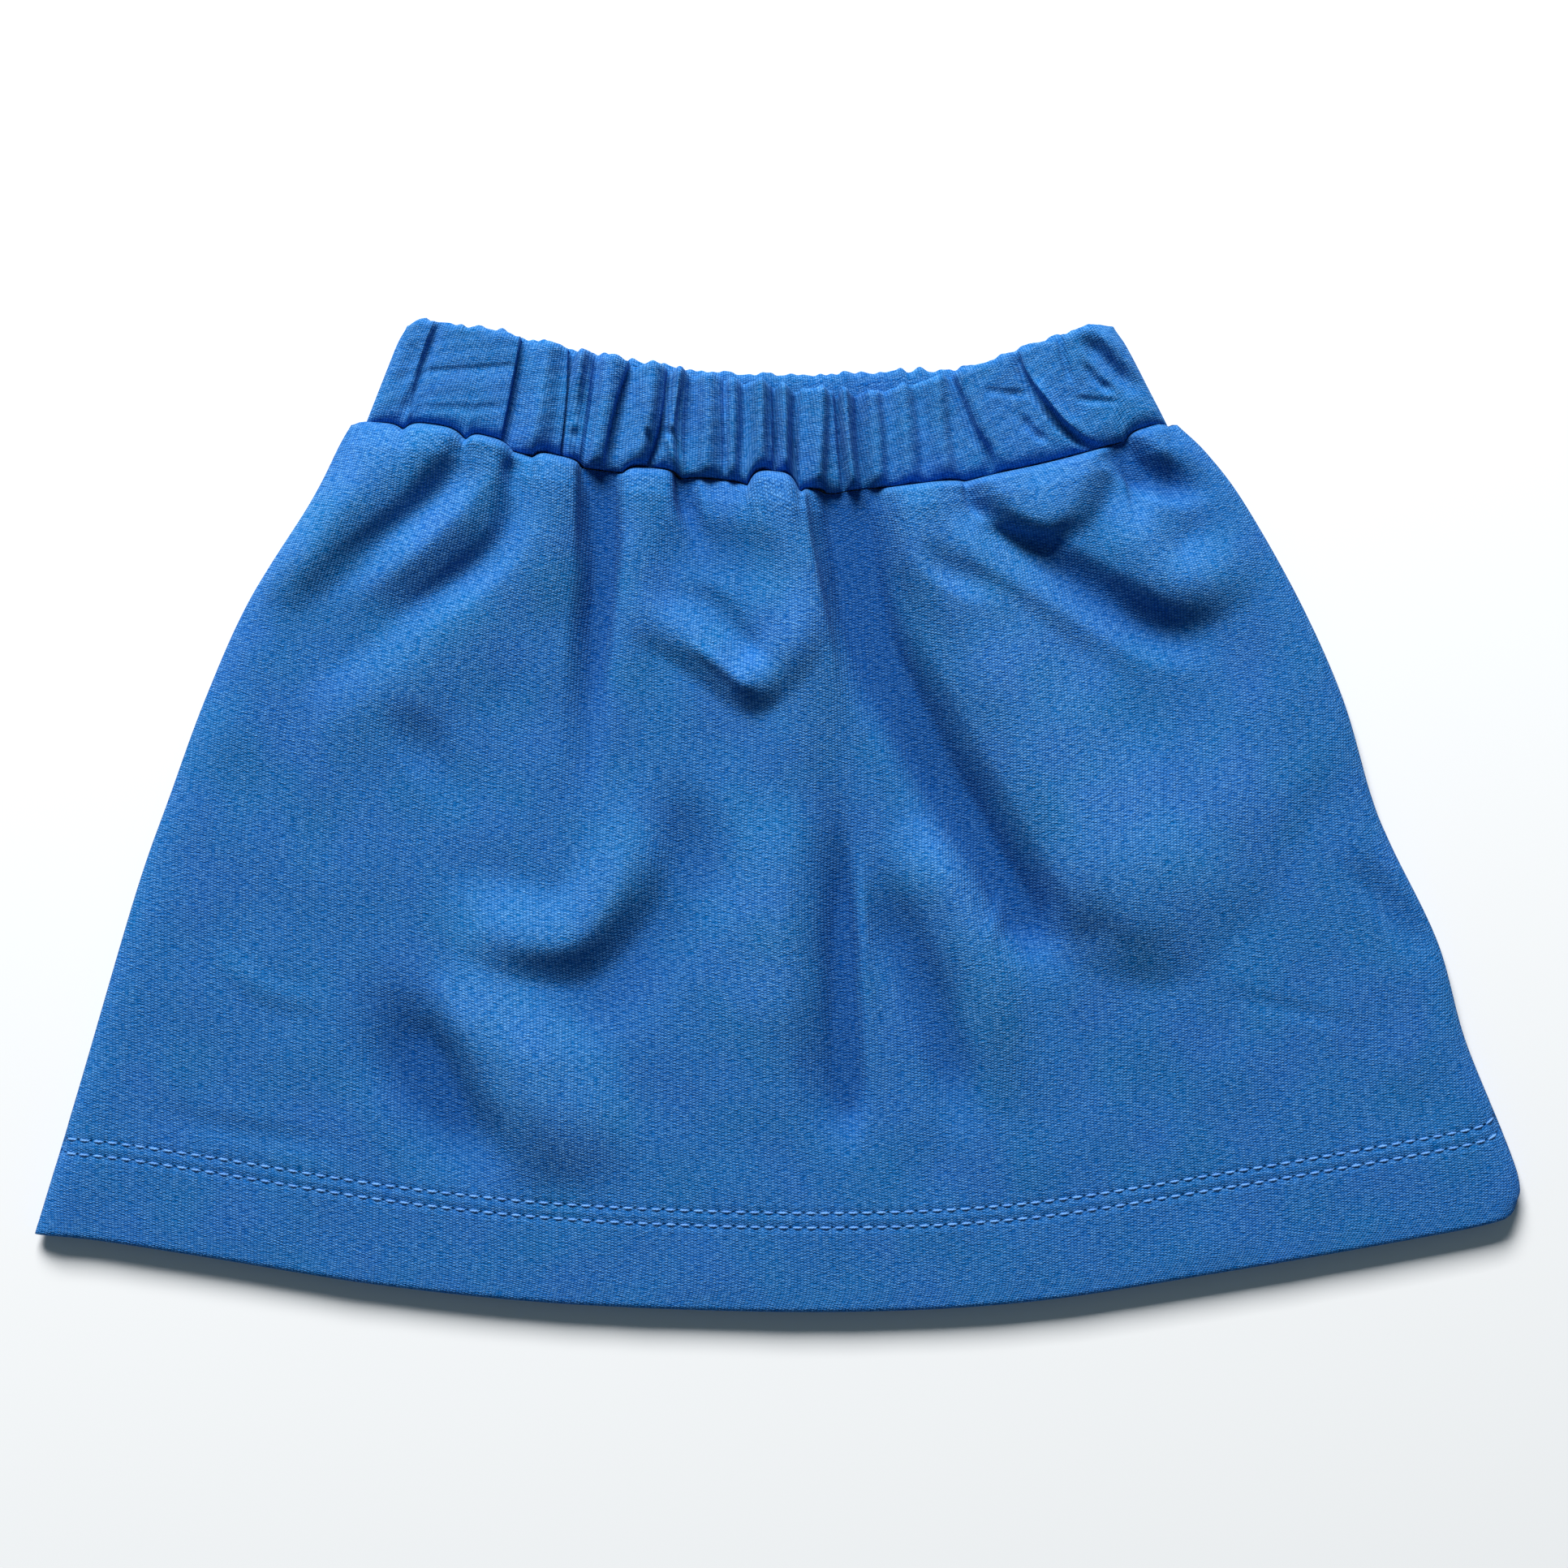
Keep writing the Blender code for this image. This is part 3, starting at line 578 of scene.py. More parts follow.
# The creases that only the cloth has, too fine for its solid
FRONT_CREASES = (
    Fold("left lip", ((-48.8, 92), (-48.8, 78), (-49.2, 58)), -2.0, 9.0, 1.9, 0.0, 0.5, -0.7),
    Fold("pocket 1", ((-67, 88), (-65.5, 80)), -1.6, 3.5, 3.0, 0.1, 0.8, -0.6),
    Fold("pocket 2", ((-24.5, 86), (-24, 78), (-22, 71)), -2.2, 4.0, 2.0, 0.0, 0.7, -0.9),
    Fold("centre lip", ((8, 84), (10, 70), (13.2, 54), (15.5, 42), (17, 28)), -2.8, 9.0, 1.9, 0.0, 0.5, -0.7),
    Fold("centre hole", ((13.8, 84), (14.2, 76), (15.5, 66)), -1.8, 2.6, 2.2, 0.0, 0.6),
    Fold("belly's start", ((47.5, 84), (49, 78), (53.5, 73)), -2.0, 3.4, 2.2, 0.0, 0.5, -0.6),
    Fold("belly's shade", ((51, 72), (60, 69.5), (68, 69), (76, 74)), -1.0, 3.0, 5.0, 0.3, 0.3, 0.8),
    Fold("right lip", ((86.5, 93), (88.6, 86), (89.6, 78), (90.5, 70)), -2.4, 6.0, 1.9, 0.0, 0.6, -0.8),
    Fold("foot of the valley", ((17, -2), (17.6, -30), (18.6, -58), (19.8, -78)), -1.8, 2.2, 8.0, 0.3, 0.15),
    Fold("light crease", ((21, -8), (21, -46), (21.6, -70)), 1.1, 4.0, 2.4, 0.3, 0.4),
    Fold("valley of the point", ((-26, 58), (-17, 54.5), (-10, 47), (-4.5, 38)), -0.9, 4.0, 4.0, 0.4, 0.25),
    Fold("crest of the point", ((-24, 44.5), (-15, 38), (-6.5, 31)), 1.2, 3.0, 2.4, 0.4, 0.1),
    Fold("hip crease", ((58, -14), (56, -24), (52, -34)), 0.9, 3.5, 3.0, 0.3, 0.4),
    Fold("faint 1", ((108, -44), (130, -49), (152, -54)), -0.35, 3.5, 3.5, 0.4, 0.4),
    Fold("faint 2", ((150, -20), (160, -34), (166, -44)), -0.5, 3.5, 3.5, 0.4, 0.4),
    Fold("faint 3", ((-146, -30), (-128, -44), (-108, -48)), 0.5, 5.0, 5.0, 0.4, 0.4),
    Fold("faint 4", ((-160, -74), (-132, -80), (-104, -84)), -0.5, 5.0, 5.0, 0.4, 0.4),
)

# %% [markdown]
# # Where the panel meets the waistband
# Each pleat ends in a small puffed head that stands up against the waistband, and between two heads the
# seam sinks into a dark notch. A row of the table is one head: where it starts and ends, how far it
# pushes up over the seam's line and how high it puffs.

# %% Pleat heads
Head = namedtuple("Head", "left right rise puff")
PLEAT_HEADS = (
    Head(-107.0, -94.5, 1.2, 0.6),
    Head(-94.0, -78.8, 2.2, 1.4),
    Head(-78.2, -66.6, 2.0, 1.2),
    Head(-61.5, -48.8, 1.9, 1.4),
    Head(-39.0, -24.2, 2.1, 1.3),
    Head(-23.4, -7.5, 0.7, -0.6),
    Head(-7.5, 5.6, 4.4, 1.4),
    Head(6.2, 12.4, 0.9, 0.3),
    Head(14.8, 47.6, 1.3, 0.9),
    Head(48.2, 87.0, 0.7, 1.2),
    Head(87.6, 99.0, 2.0, 1.4),
)


def head_share(x, head):
    """1 over most of a pleat's head, rounding to 0 at its ends."""
    middle, half = (head.left + head.right) / 2, (head.right - head.left) / 2
    return np.clip(1 - ((x - middle) / half) ** 4, 0, 1)


def seam_rise(x):
    return sum(head.rise * head_share(x, head) for head in PLEAT_HEADS)


def seam_puff(x):
    return sum(head.puff * head_share(x, head) for head in PLEAT_HEADS)


def level(down, column):
    """One column of the levels' table, at these shares of the length."""
    values = [getattr(row, column) for row in FRONT_LEVELS]
    return np.interp(down, [row.down for row in FRONT_LEVELS], values)


print(len(PLEAT_HEADS), "pleat heads along", f"{length_of(WAIST_SEAM):.0f} mm of seam")

# %% [markdown]
# # The front's wall of cloth
# On the real skirt this is one layer of jersey, and two in the turned-up hem. A displaced plane would
# give the folds but no edge and no inside. So a grid is laid out between the four seams, lifted by the
# folds, rolled down at the sides and turned under at the hem, and an inner face follows it one cloth
# below. Its rows lie closest where the cloth turns most sharply. Over the steep pleat heads the cloth's
# own measure is taken along the slope, or the knit would be stretched there.

# %% Front panel
FRONT_COLUMNS, FRONT_ROLL = 334, 11.0
HEAD_FADE, PUFF_FADE = 6.0, 13.0  # how far below the seam a head's push and its puff fade out
CALM, CALM_START, CALM_REACH = 0.85, 0.76, 0.13  # the hem calms the folds: how much, and where down the panel
BACK_SHIRR, SHIRR_END, SHIRR_FADE = 1.1, 0.28, 0.12  # room for the back's gathers near the waist
GROOVE, GROOVE_WIDTH = 0.36, 1.1  # how deep and how wide the stitches draw the cloth in
CINCH, CINCH_UP, CINCH_REACH = 0.6, 23.5, 3.0  # how they pull the side seam inwards, and where above the hem
SIDE_INSET = 6.0  # how far in from the sides a fold moves the cloth sideways in full
SEAM_FLOOR = 4.1  # height of the cloth where the waist seam holds it
HEAD_ROUND = 2.4  # radius of a pleat's head
HEAD_REACH = 9.0  # how far below the seam the heads are steep
ROW_NEAR, ROW_MIDDLE, ROW_HEM = 0.5, 0.98, 0.6  # spacing of the outer rows in mm
FOLD_RADIUS = CLOTH  # of the hem's folded edge
HEM_CLOSE = 6.0  # how far up from the hem the rows give way for that fold
INNER_STEP = 6


def row_shares():
    """Rows of a panel: close together at the seam and in the hem."""
    near = np.concatenate([[0.0, 0.12, 0.35, 0.7, 1.1, 1.6], np.arange(2.1, 12.0, ROW_NEAR)])
    middle = np.arange(12.0, PANEL_LENGTH - HEM_DEPTH - 3, ROW_MIDDLE)
    hem = np.arange(PANEL_LENGTH - HEM_DEPTH - 3, PANEL_LENGTH + 0.01, ROW_HEM)
    rows = np.concatenate([near, middle, hem])
    rows = rows[: (len(rows) - 1) // INNER_STEP * INNER_STEP + 1]
    return rows / rows[-1]


def in_hem(hem_distance, softness):
    """1 in the turned-up hem, 0 above it."""
    return ease((HEM_DEPTH - hem_distance) / softness + 0.5)


def climb(hem_distance, z, seam_distance):
    """The cloth that the steep pleat heads take up, so that the knit isn't stretched over them."""
    flat = -np.diff(hem_distance, axis=0)
    extra = (np.hypot(flat, np.diff(z, axis=0)) - flat) * (seam_distance[1:] < HEAD_REACH)
    return np.concatenate([np.cumsum(extra[::-1], axis=0)[::-1], np.zeros((1, z.shape[1]))])


def front_skin():
    across, down = np.meshgrid(side_shares(FRONT_COLUMNS, FRONT_ROLL, PANEL_WIDTH), row_shares())
    x, y = panel_place(across, down)
    hem_distance = from_hem(x, y)
    seam_distance = down * PANEL_LENGTH
    cloth = flat_cloth(across, down, hem_distance)
    y = y + seam_rise(x) * np.exp(-((seam_distance / HEAD_FADE) ** 2))
    folds = relief_of(x, y, FRONT_FOLDS)
    creases = relief_of(x, y, FRONT_CREASES)
    calm = 1 - CALM * ease((down - CALM_START) / CALM_REACH)
    layer = 2 * CLOTH * in_hem(hem_distance, 3.0)
    lowest = 2 * CLOTH + GAP + BACK_SHIRR * (1 - ease((down - SHIRR_END) / SHIRR_FADE)) + layer
    uneven = ripple(cloth[..., 0], cloth[..., 1], 14.0, 60.0, 14, seed=11)
    puff = seam_puff(x) * np.exp(-((seam_distance / PUFF_FADE) ** 2))
    lift = folds.height * calm + creases.height + 0.5 * puff
    # the fold height rides as the cloth's third number, by which the jersey paints shade into hollows and a
    # highlight onto crests
    cloth[..., 2] = lift
    face = soft_floor(level(down, "height") + lift + 0.5 * puff + 0.16 * uneven, lowest)
    face -= sum(GROOVE * np.exp(-(((hem_distance - row) / GROOVE_WIDTH) ** 2)) for row in STITCH_ROWS)
    rise = np.clip(seam_distance / HEAD_ROUND, 0, 1)
    face = SEAM_FLOOR + (face - SEAM_FLOOR) * np.sqrt(1 - (1 - rise) ** 2)
    width = x[:, -1:] - x[:, :1]
    _, lying = rolled(np.minimum(across, 1 - across) * width, level(down, "roll"))
    seam = SIDE_SEAM_HEIGHT + GAP / 2
    z = seam + (face - seam) * lying
    inside = np.clip(np.minimum(across, 1 - across) * width / SIDE_INSET, 0, 1)
    cinch = CINCH * np.exp(-(((hem_distance - CINCH_UP) / CINCH_REACH) ** 2)) * (1 - inside)
    x = x + (folds.move_x + creases.move_x) * inside + cinch * np.where(across < 0.5, 1.0, -1.0)
    y = y + (folds.move_y + creases.move_y) * inside * np.clip(seam_distance / 3.0, 0, 1)
    cloth[..., 1] += climb(hem_distance, z, seam_distance)
    return Skin(draw_in(np.stack([x, y, z], -1), hem_distance), cloth), (across, lying)


def outward(points):
    """The level direction out over the hem, at each column."""
    way = points[-1] - points[-8]
    way[:, 2] = 0
    return way / np.linalg.norm(way, axis=1)[:, None]


def draw_in(points, hem_distance):
    """Leaves room for the hem's round fold: the rows near the edge close up by its radius."""
    near = np.clip(1 - hem_distance / HEM_CLOSE, 0, 1)
    return points - outward(points) * (FOLD_RADIUS * near)[..., None]


def hem_turn(skin, thickness, count=8):
    """Rows that carry the outer skin round the hem's fold to its other side."""
    last, way = skin.points[-1], outward(skin.points)
    angle = np.linspace(0, np.pi, count + 1)[1:, None, None]
    radius = thickness[None, :, None] / 2
    turn = last + way * FOLD_RADIUS * np.sin(angle)
    turn = turn - np.array([0, 0, 1.0]) * radius * (1 - np.cos(angle))
    cloth = np.repeat(skin.cloth[-1:], count, axis=0)
    cloth[..., 1] -= np.linspace(0, np.pi * FOLD_RADIUS, count + 1)[1:, None]
    return Skin(np.concatenate([skin.points, turn]), np.concatenate([skin.cloth, cloth]))


def lowest_around(z, reach):
    """The lowest height within so many points, so that an inner face stays under every crease."""
    for axis in (0, 1):
        z = np.min([np.roll(z, shift, axis) for shift in range(-reach, reach + 1)], axis=0)
    return z


def front_panel():
    skin, (across, lying) = front_skin()
    points, cloth = skin
    thickness = 2 * CLOTH * np.clip(lying[-1], 0.2, 1)
    outer = hem_turn(skin, thickness)
    under = lowest_around(np.pad(points[..., 2], 6, mode="edge"), 4)[6:-6, 6:-6]
    rows = np.arange(0, len(points), INNER_STEP)
    inner = points[rows].copy()
    side = np.where(across[rows] < 0.5, 1.0, -1.0)
    upright = np.sqrt(1 - lying[rows] ** 2)
    inner[..., 0] += side * upright * CLOTH
    lowest = 2 * CLOTH + GAP
    seam = SIDE_SEAM_HEIGHT + GAP / 2
    inner[..., 2] = np.minimum(under[rows] - CLOTH * lying[rows], inner[..., 2] - CLOTH * lying[rows])
    inner[..., 2] = np.maximum(inner[..., 2], seam + (lowest - seam) * lying[rows])
    inner[-1] = outer.points[-1] - outward(points) * CLOTH
    matches = [*rows[:-1], len(outer.points) - 1]
    return wall_object("front_panel_cloth", outer, Skin(inner, cloth[rows]), matches, panel_jersey), skin


front, front_cloth = front_panel()
report(front)

# %% [markdown]
# # The back panel
# The back lies under the front, face down on the table, so its outer face is the flat one. Its own
# gathers lift it a little off the table near the waist. It reaches as far as the front and closes the
# sides with it.

# %% Back panel
BACK_COLUMNS, BACK_ROLL = 210, 5.0
BACK_GROOVE, BACK_GROOVE_WIDTH = 0.55, 1.0  # the stitches lie in it, so they don't touch the table
BACK_GATHERS, BACK_LIFT = 17, 0.9


def back_fold(number):
    """One of the back's gathers: a short hollow that fans out from the seam, uneven in place and reach."""
    share = (number + 0.5 + 0.28 * np.sin(2.3 * number)) / BACK_GATHERS
    x = BAND_LOW_LEFT + share * (BAND_LOW_RIGHT - BAND_LOW_LEFT)
    reach = 16 + 24 * (1 + np.sin(1.7 * number + 0.6)) / 2
    fan = (share - 0.5) * 0.9
    path = ((x, height_at(WAIST_SEAM, x) + 4), (x + fan * reach, height_at(WAIST_SEAM, x) - reach))
    return Fold(f"back gather {number}", path, BACK_LIFT, 3.2, 2.6, 0.0, 0.6)


def back_panel():
    across, down = np.meshgrid(side_shares(BACK_COLUMNS, BACK_ROLL, PANEL_WIDTH), row_shares())
    x, y = panel_place(across, down)
    hem_distance = from_hem(x, y)
    seam_distance = down * PANEL_LENGTH
    cloth = flat_cloth(across, down, hem_distance)
    y = y + seam_rise(x) * np.exp(-((seam_distance / HEAD_FADE) ** 2))
    width = x[:, -1:] - x[:, :1]
    upright, lying = rolled(np.minimum(across, 1 - across) * width, BACK_ROLL)
    lift = relief_of(x, y, [back_fold(number) for number in range(BACK_GATHERS)]).height
    lift = lift + 0.12 * (1 + ripple(cloth[..., 0], cloth[..., 1], 12.0, 50.0, 10, seed=5)) * (down < 0.85)
    off_rows = [(hem_distance - row) / BACK_GROOVE_WIDTH for row in STITCH_ROWS]
    lift += sum(BACK_GROOVE * np.exp(-(off**2)) for off in off_rows)
    seam = SIDE_SEAM_HEIGHT - GAP / 2
    z = seam + (np.maximum(lift, 0) - seam) * lying
    points = draw_in(np.stack([x, y, z], -1), hem_distance)
    thickness = 2 * CLOTH * np.clip(lying[-1], 0.2, 1)
    outer = hem_turn(Skin(points, cloth), -thickness)
    rows = np.arange(0, len(points), INNER_STEP)
    inner = points[rows].copy()
    wall = CLOTH * (1 + in_hem(hem_distance[rows], 2.0))
    inner[..., 0] += np.where(across[rows] < 0.5, 1.0, -1.0) * upright[rows] * wall
    inner[..., 2] += lying[rows] * wall
    inner[-1] = outer.points[-1] - outward(points) * CLOTH
    matches = [*rows[:-1], len(outer.points) - 1]
    wall = wall_object("back_panel_cloth", outer, Skin(inner, cloth[rows]), matches, panel_jersey)
    return wall, Skin(points, cloth)


back, back_cloth = back_panel()
report(back)

# %% [markdown]
# # The hem's stitches
# The turned-up hem is held by two rows of machine stitches, 3.7 mm apart, in a thread a little paler than
# the cloth. Every stitch is the same short arc that dives into its needle hole at both ends. That is work
# for Geometry Nodes: the script finds where each stitch lies and which way it points, and the node tree
# sets one small tube on every point. Each stitch also takes its own shade by chance.

# %% Thread
PALE_THREAD = (0.150, 0.370, 0.760, 1.0)
DARK_THREAD = (0.040, 0.170, 0.520, 1.0)


def thread(name):
    finish = Finish(name, {"Roughness": 0.6, "Specular IOR Level": 0.35, "Sheen Weight": 0.1})
    along = finish.node("ShaderNodeAttribute", {"attribute_name": "along"}, output="Fac")
    around = finish.node("ShaderNodeAttribute", {"attribute_name": "around"}, output="Fac")
    chance = finish.node("ShaderNodeAttribute", {"attribute_name": "chance"}, output="Fac")
    ply = 1 - ((along * 5 + around * 2).fraction() - 0.5).size() * 2
    colour = finish.mix((0.2 + ply * 0.5 + chance * 0.4).clipped(), DARK_THREAD, PALE_THREAD)
    bump = {"Height": ply, "Strength": 0.8, "Distance": 0.08 * MM}
    return finish.feed({"Base Color": colour, "Normal": finish.node("ShaderNodeBump", {}, bump)})


hem_thread = thread("hem thread")
print("thread:", len(hem_thread.node_tree.nodes), "nodes")

# %% [markdown]
# # A stitch on every point
# A stitch is a short arc of thread. It could be modelled once and copied in a loop, but a node tree keeps
# its length, thickness and rise as inputs that can be changed later. The tree sweeps a small ring along
# an arc, sets it on every point, turns it along the row and then makes one plain mesh of all of them.

# %% Node trees
class NodeTree:
    """A Geometry Nodes tree while it is being made, with named inputs for its sizes."""

    def __init__(self, name, inputs):
        self.tree = bpy.data.node_groups.new(name, "GeometryNodeTree")
        face = self.tree.interface
        face.new_socket("Geometry", in_out="INPUT", socket_type="NodeSocketGeometry")
        face.new_socket("Geometry", in_out="OUTPUT", socket_type="NodeSocketGeometry")
        for label, (kind, value) in inputs.items():
            face.new_socket(label, in_out="INPUT", socket_type=kind).default_value = value
        self.given = self.tree.nodes.new("NodeGroupInput").outputs
        self.end = self.tree.nodes.new("NodeGroupOutput")

    def node(self, kind, settings=None, inputs=None, output=0):
        """Adds a node and gives one of its outputs."""
        return add_node(self.tree, kind, settings, inputs).outputs[output]

    def store(self, geometry, name, kind, domain, value):
        settings = {"data_type": kind, "domain": domain}
        inputs = {"Geometry": geometry, "Name": name, "Value": value}
        return self.node("GeometryNodeStoreNamedAttribute", settings, inputs)

    def applied(self, base, values):
        """The plain mesh that the tree makes from a base mesh with these input values."""
        holder = bpy.data.objects.new("holder", base)
        bpy.context.scene.collection.objects.link(holder)
        modifier = holder.modifiers.new(self.tree.name, "NODES")
        modifier.node_group = self.tree
        for item in self.tree.interface.items_tree:
            if item.item_type == "SOCKET" and item.in_out == "INPUT" and item.name in values:
                modifier[item.identifier] = values[item.name]
        graph = bpy.context.evaluated_depsgraph_get()
        mesh = bpy.data.meshes.new_from_object(holder.evaluated_get(graph))
        bpy.data.objects.remove(holder)
        return mesh


STITCH_LENGTH = 2.7 * MM
THREAD_RADIUS = 0.34 * MM
STITCH_SIDES, STITCH_STEPS = 6, 8
STITCH_DIP, STITCH_PULL = -1.6, 2.6  # an end's depth in radii of the thread, and the pull on the arc's middle
FRONT_RISE, BACK_RISE = 0.30, 0.02  # mm that a stitch stands up
SIDE_MARGIN = 1.2  # mm from the side seam to the first stitch


def stitch_tree(material):
    """One arc of thread on every point, turned to the point's tangent and up directions."""
    made = NodeTree("stitches", {
        "Length": ("NodeSocketFloat", STITCH_LENGTH),
        "Radius": ("NodeSocketFloat", THREAD_RADIUS),
        "Rise": ("NodeSocketFloat", 0.3 * MM),
        "Seed": ("NodeSocketInt", 4),
    })
    given = made.given
    half = made.node("ShaderNodeMath", {"operation": "MULTIPLY"}, {0: given["Length"], 1: 0.5})
    back = made.node("ShaderNodeMath", {"operation": "MULTIPLY"}, {0: given["Length"], 1: -0.5})
    dip = made.node("ShaderNodeMath", {"operation": "MULTIPLY"}, {0: given["Radius"], 1: STITCH_DIP})
    peak = made.node("ShaderNodeMath", {"operation": "MULTIPLY"}, {0: given["Rise"], 1: STITCH_PULL})
    start = made.node("ShaderNodeCombineXYZ", {}, {"X": back, "Z": dip})
    middle = made.node("ShaderNodeCombineXYZ", {}, {"Z": peak})
    end = made.node("ShaderNodeCombineXYZ", {}, {"X": half, "Z": dip})
    arc = made.node("GeometryNodeCurveQuadraticBezier", {},
                    {"Resolution": STITCH_STEPS, "Start": start, "Middle": middle, "End": end})
    factor = made.node("GeometryNodeSplineParameter")
    arc = made.store(arc, "along", "FLOAT", "POINT", factor)
    round_thread = {"Resolution": STITCH_SIDES, "Radius": given["Radius"]}
    ring = made.node("GeometryNodeCurvePrimitiveCircle", {}, round_thread)
    ring = made.store(ring, "around", "FLOAT", "POINT", factor)
    tube = made.node("GeometryNodeCurveToMesh", {}, {"Curve": arc, "Profile Curve": ring, "Fill Caps": True})
    tangent = made.node("GeometryNodeInputNamedAttribute", {"data_type": "FLOAT_VECTOR"}, {"Name": "tangent"})
    up = made.node("GeometryNodeInputNamedAttribute", {"data_type": "FLOAT_VECTOR"}, {"Name": "up"})
    turn = made.node("FunctionNodeAlignRotationToVector", {"axis": "X"}, {"Vector": tangent})
    turn = made.node("FunctionNodeAlignRotationToVector", {"axis": "Z", "pivot_axis": "X"},
                     {"Rotation": turn, "Vector": up})
    placed = made.node("GeometryNodeInstanceOnPoints", {},
                       {"Points": given["Geometry"], "Instance": tube, "Rotation": turn})
    chance = made.node("FunctionNodeRandomValue", {"data_type": "FLOAT"}, {"Seed": given["Seed"]}, output=1)
    placed = made.store(placed, "chance", "FLOAT", "INSTANCE", chance)
    whole = made.node("GeometryNodeRealizeInstances", {}, {"Geometry": placed})
    smooth = made.node("GeometryNodeSetShadeSmooth", {}, {"Geometry": whole})
    dressed = made.node("GeometryNodeSetMaterial", {}, {"Geometry": smooth, "Material": material})
    made.tree.links.new(dressed, made.end.inputs["Geometry"])
    return made


def row_on(skin, hem_distance, u):
    """Places on the skin at this distance from the hem, at these places across the flat cloth."""
    columns = skin.points.shape[1]
    line = np.array([
        [np.interp(hem_distance, skin.cloth[::-1, k, 1], values[::-1, k]) for k in range(columns)]
        for values in (skin.cloth[..., 0], skin.points[..., 0], skin.points[..., 1], skin.points[..., 2])
    ])
    return np.stack([np.interp(u, line[0], line[axis]) for axis in (1, 2, 3)], -1)


def hem_stitches(name, skin, is_front, rise, tree):
    """Both rows of stitches of one panel, as one mesh."""
    places, tangents, ups = [], [], []
    for row in STITCH_ROWS:
        edge = 0.5 * (CUT_HEM - (CUT_HEM - CUT_WAIST) * row / PANEL_LENGTH) - SIDE_MARGIN
        count = math.floor(edge / STITCH_PITCH)
        u = np.arange(-count, count + 1) * STITCH_PITCH
        place = row_on(skin, row, u)
        tangent = row_on(skin, row, u + 0.8) - row_on(skin, row, u - 0.8)
        slope = row_on(skin, row + 3.0, u) - row_on(skin, row - 3.0, u)
        up = np.cross(tangent, slope) * (1 if is_front else -1)
        places.append(place)
        tangents.append(tangent / np.linalg.norm(tangent, axis=1)[:, None])
        ups.append(up / np.linalg.norm(up, axis=1)[:, None])
    base = bpy.data.meshes.new("stitch places")
    base.from_pydata((np.concatenate(places) * MM).tolist(), [], [])
    for label, values in (("tangent", tangents), ("up", ups)):
        attribute = base.attributes.new(label, "FLOAT_VECTOR", "POINT")
        attribute.data.foreach_set("vector", np.concatenate(values).ravel())
    mesh = tree.applied(base, {"Rise": rise * MM, "Seed": 4 if is_front else 9})
    mesh.name = name
    piece = bpy.data.objects.new(name, mesh)
    bpy.context.scene.collection.objects.link(piece)
    print(f"{name}: {len(base.vertices)} stitches")
    return piece


stitching = stitch_tree(hem_thread)
front_stitches = hem_stitches("hem_stitches_front", front_cloth, True, FRONT_RISE, stitching)
back_stitches = hem_stitches("hem_stitches_back", back_cloth, False, BACK_RISE, stitching)
report(front_stitches)
report(back_stitches)

# %% [markdown]
# # The waistband
# A strip of the same jersey, folded over an elastic. The elastic pulls it together into narrow gathers,
# and no two are alike: some stand up as round ribs, some lie down over their neighbour and leave a dark
# slit. The rows of the first table run from the top edge to the seam. The second table holds the creases
# that wander, where the cloth has slipped on the elastic.

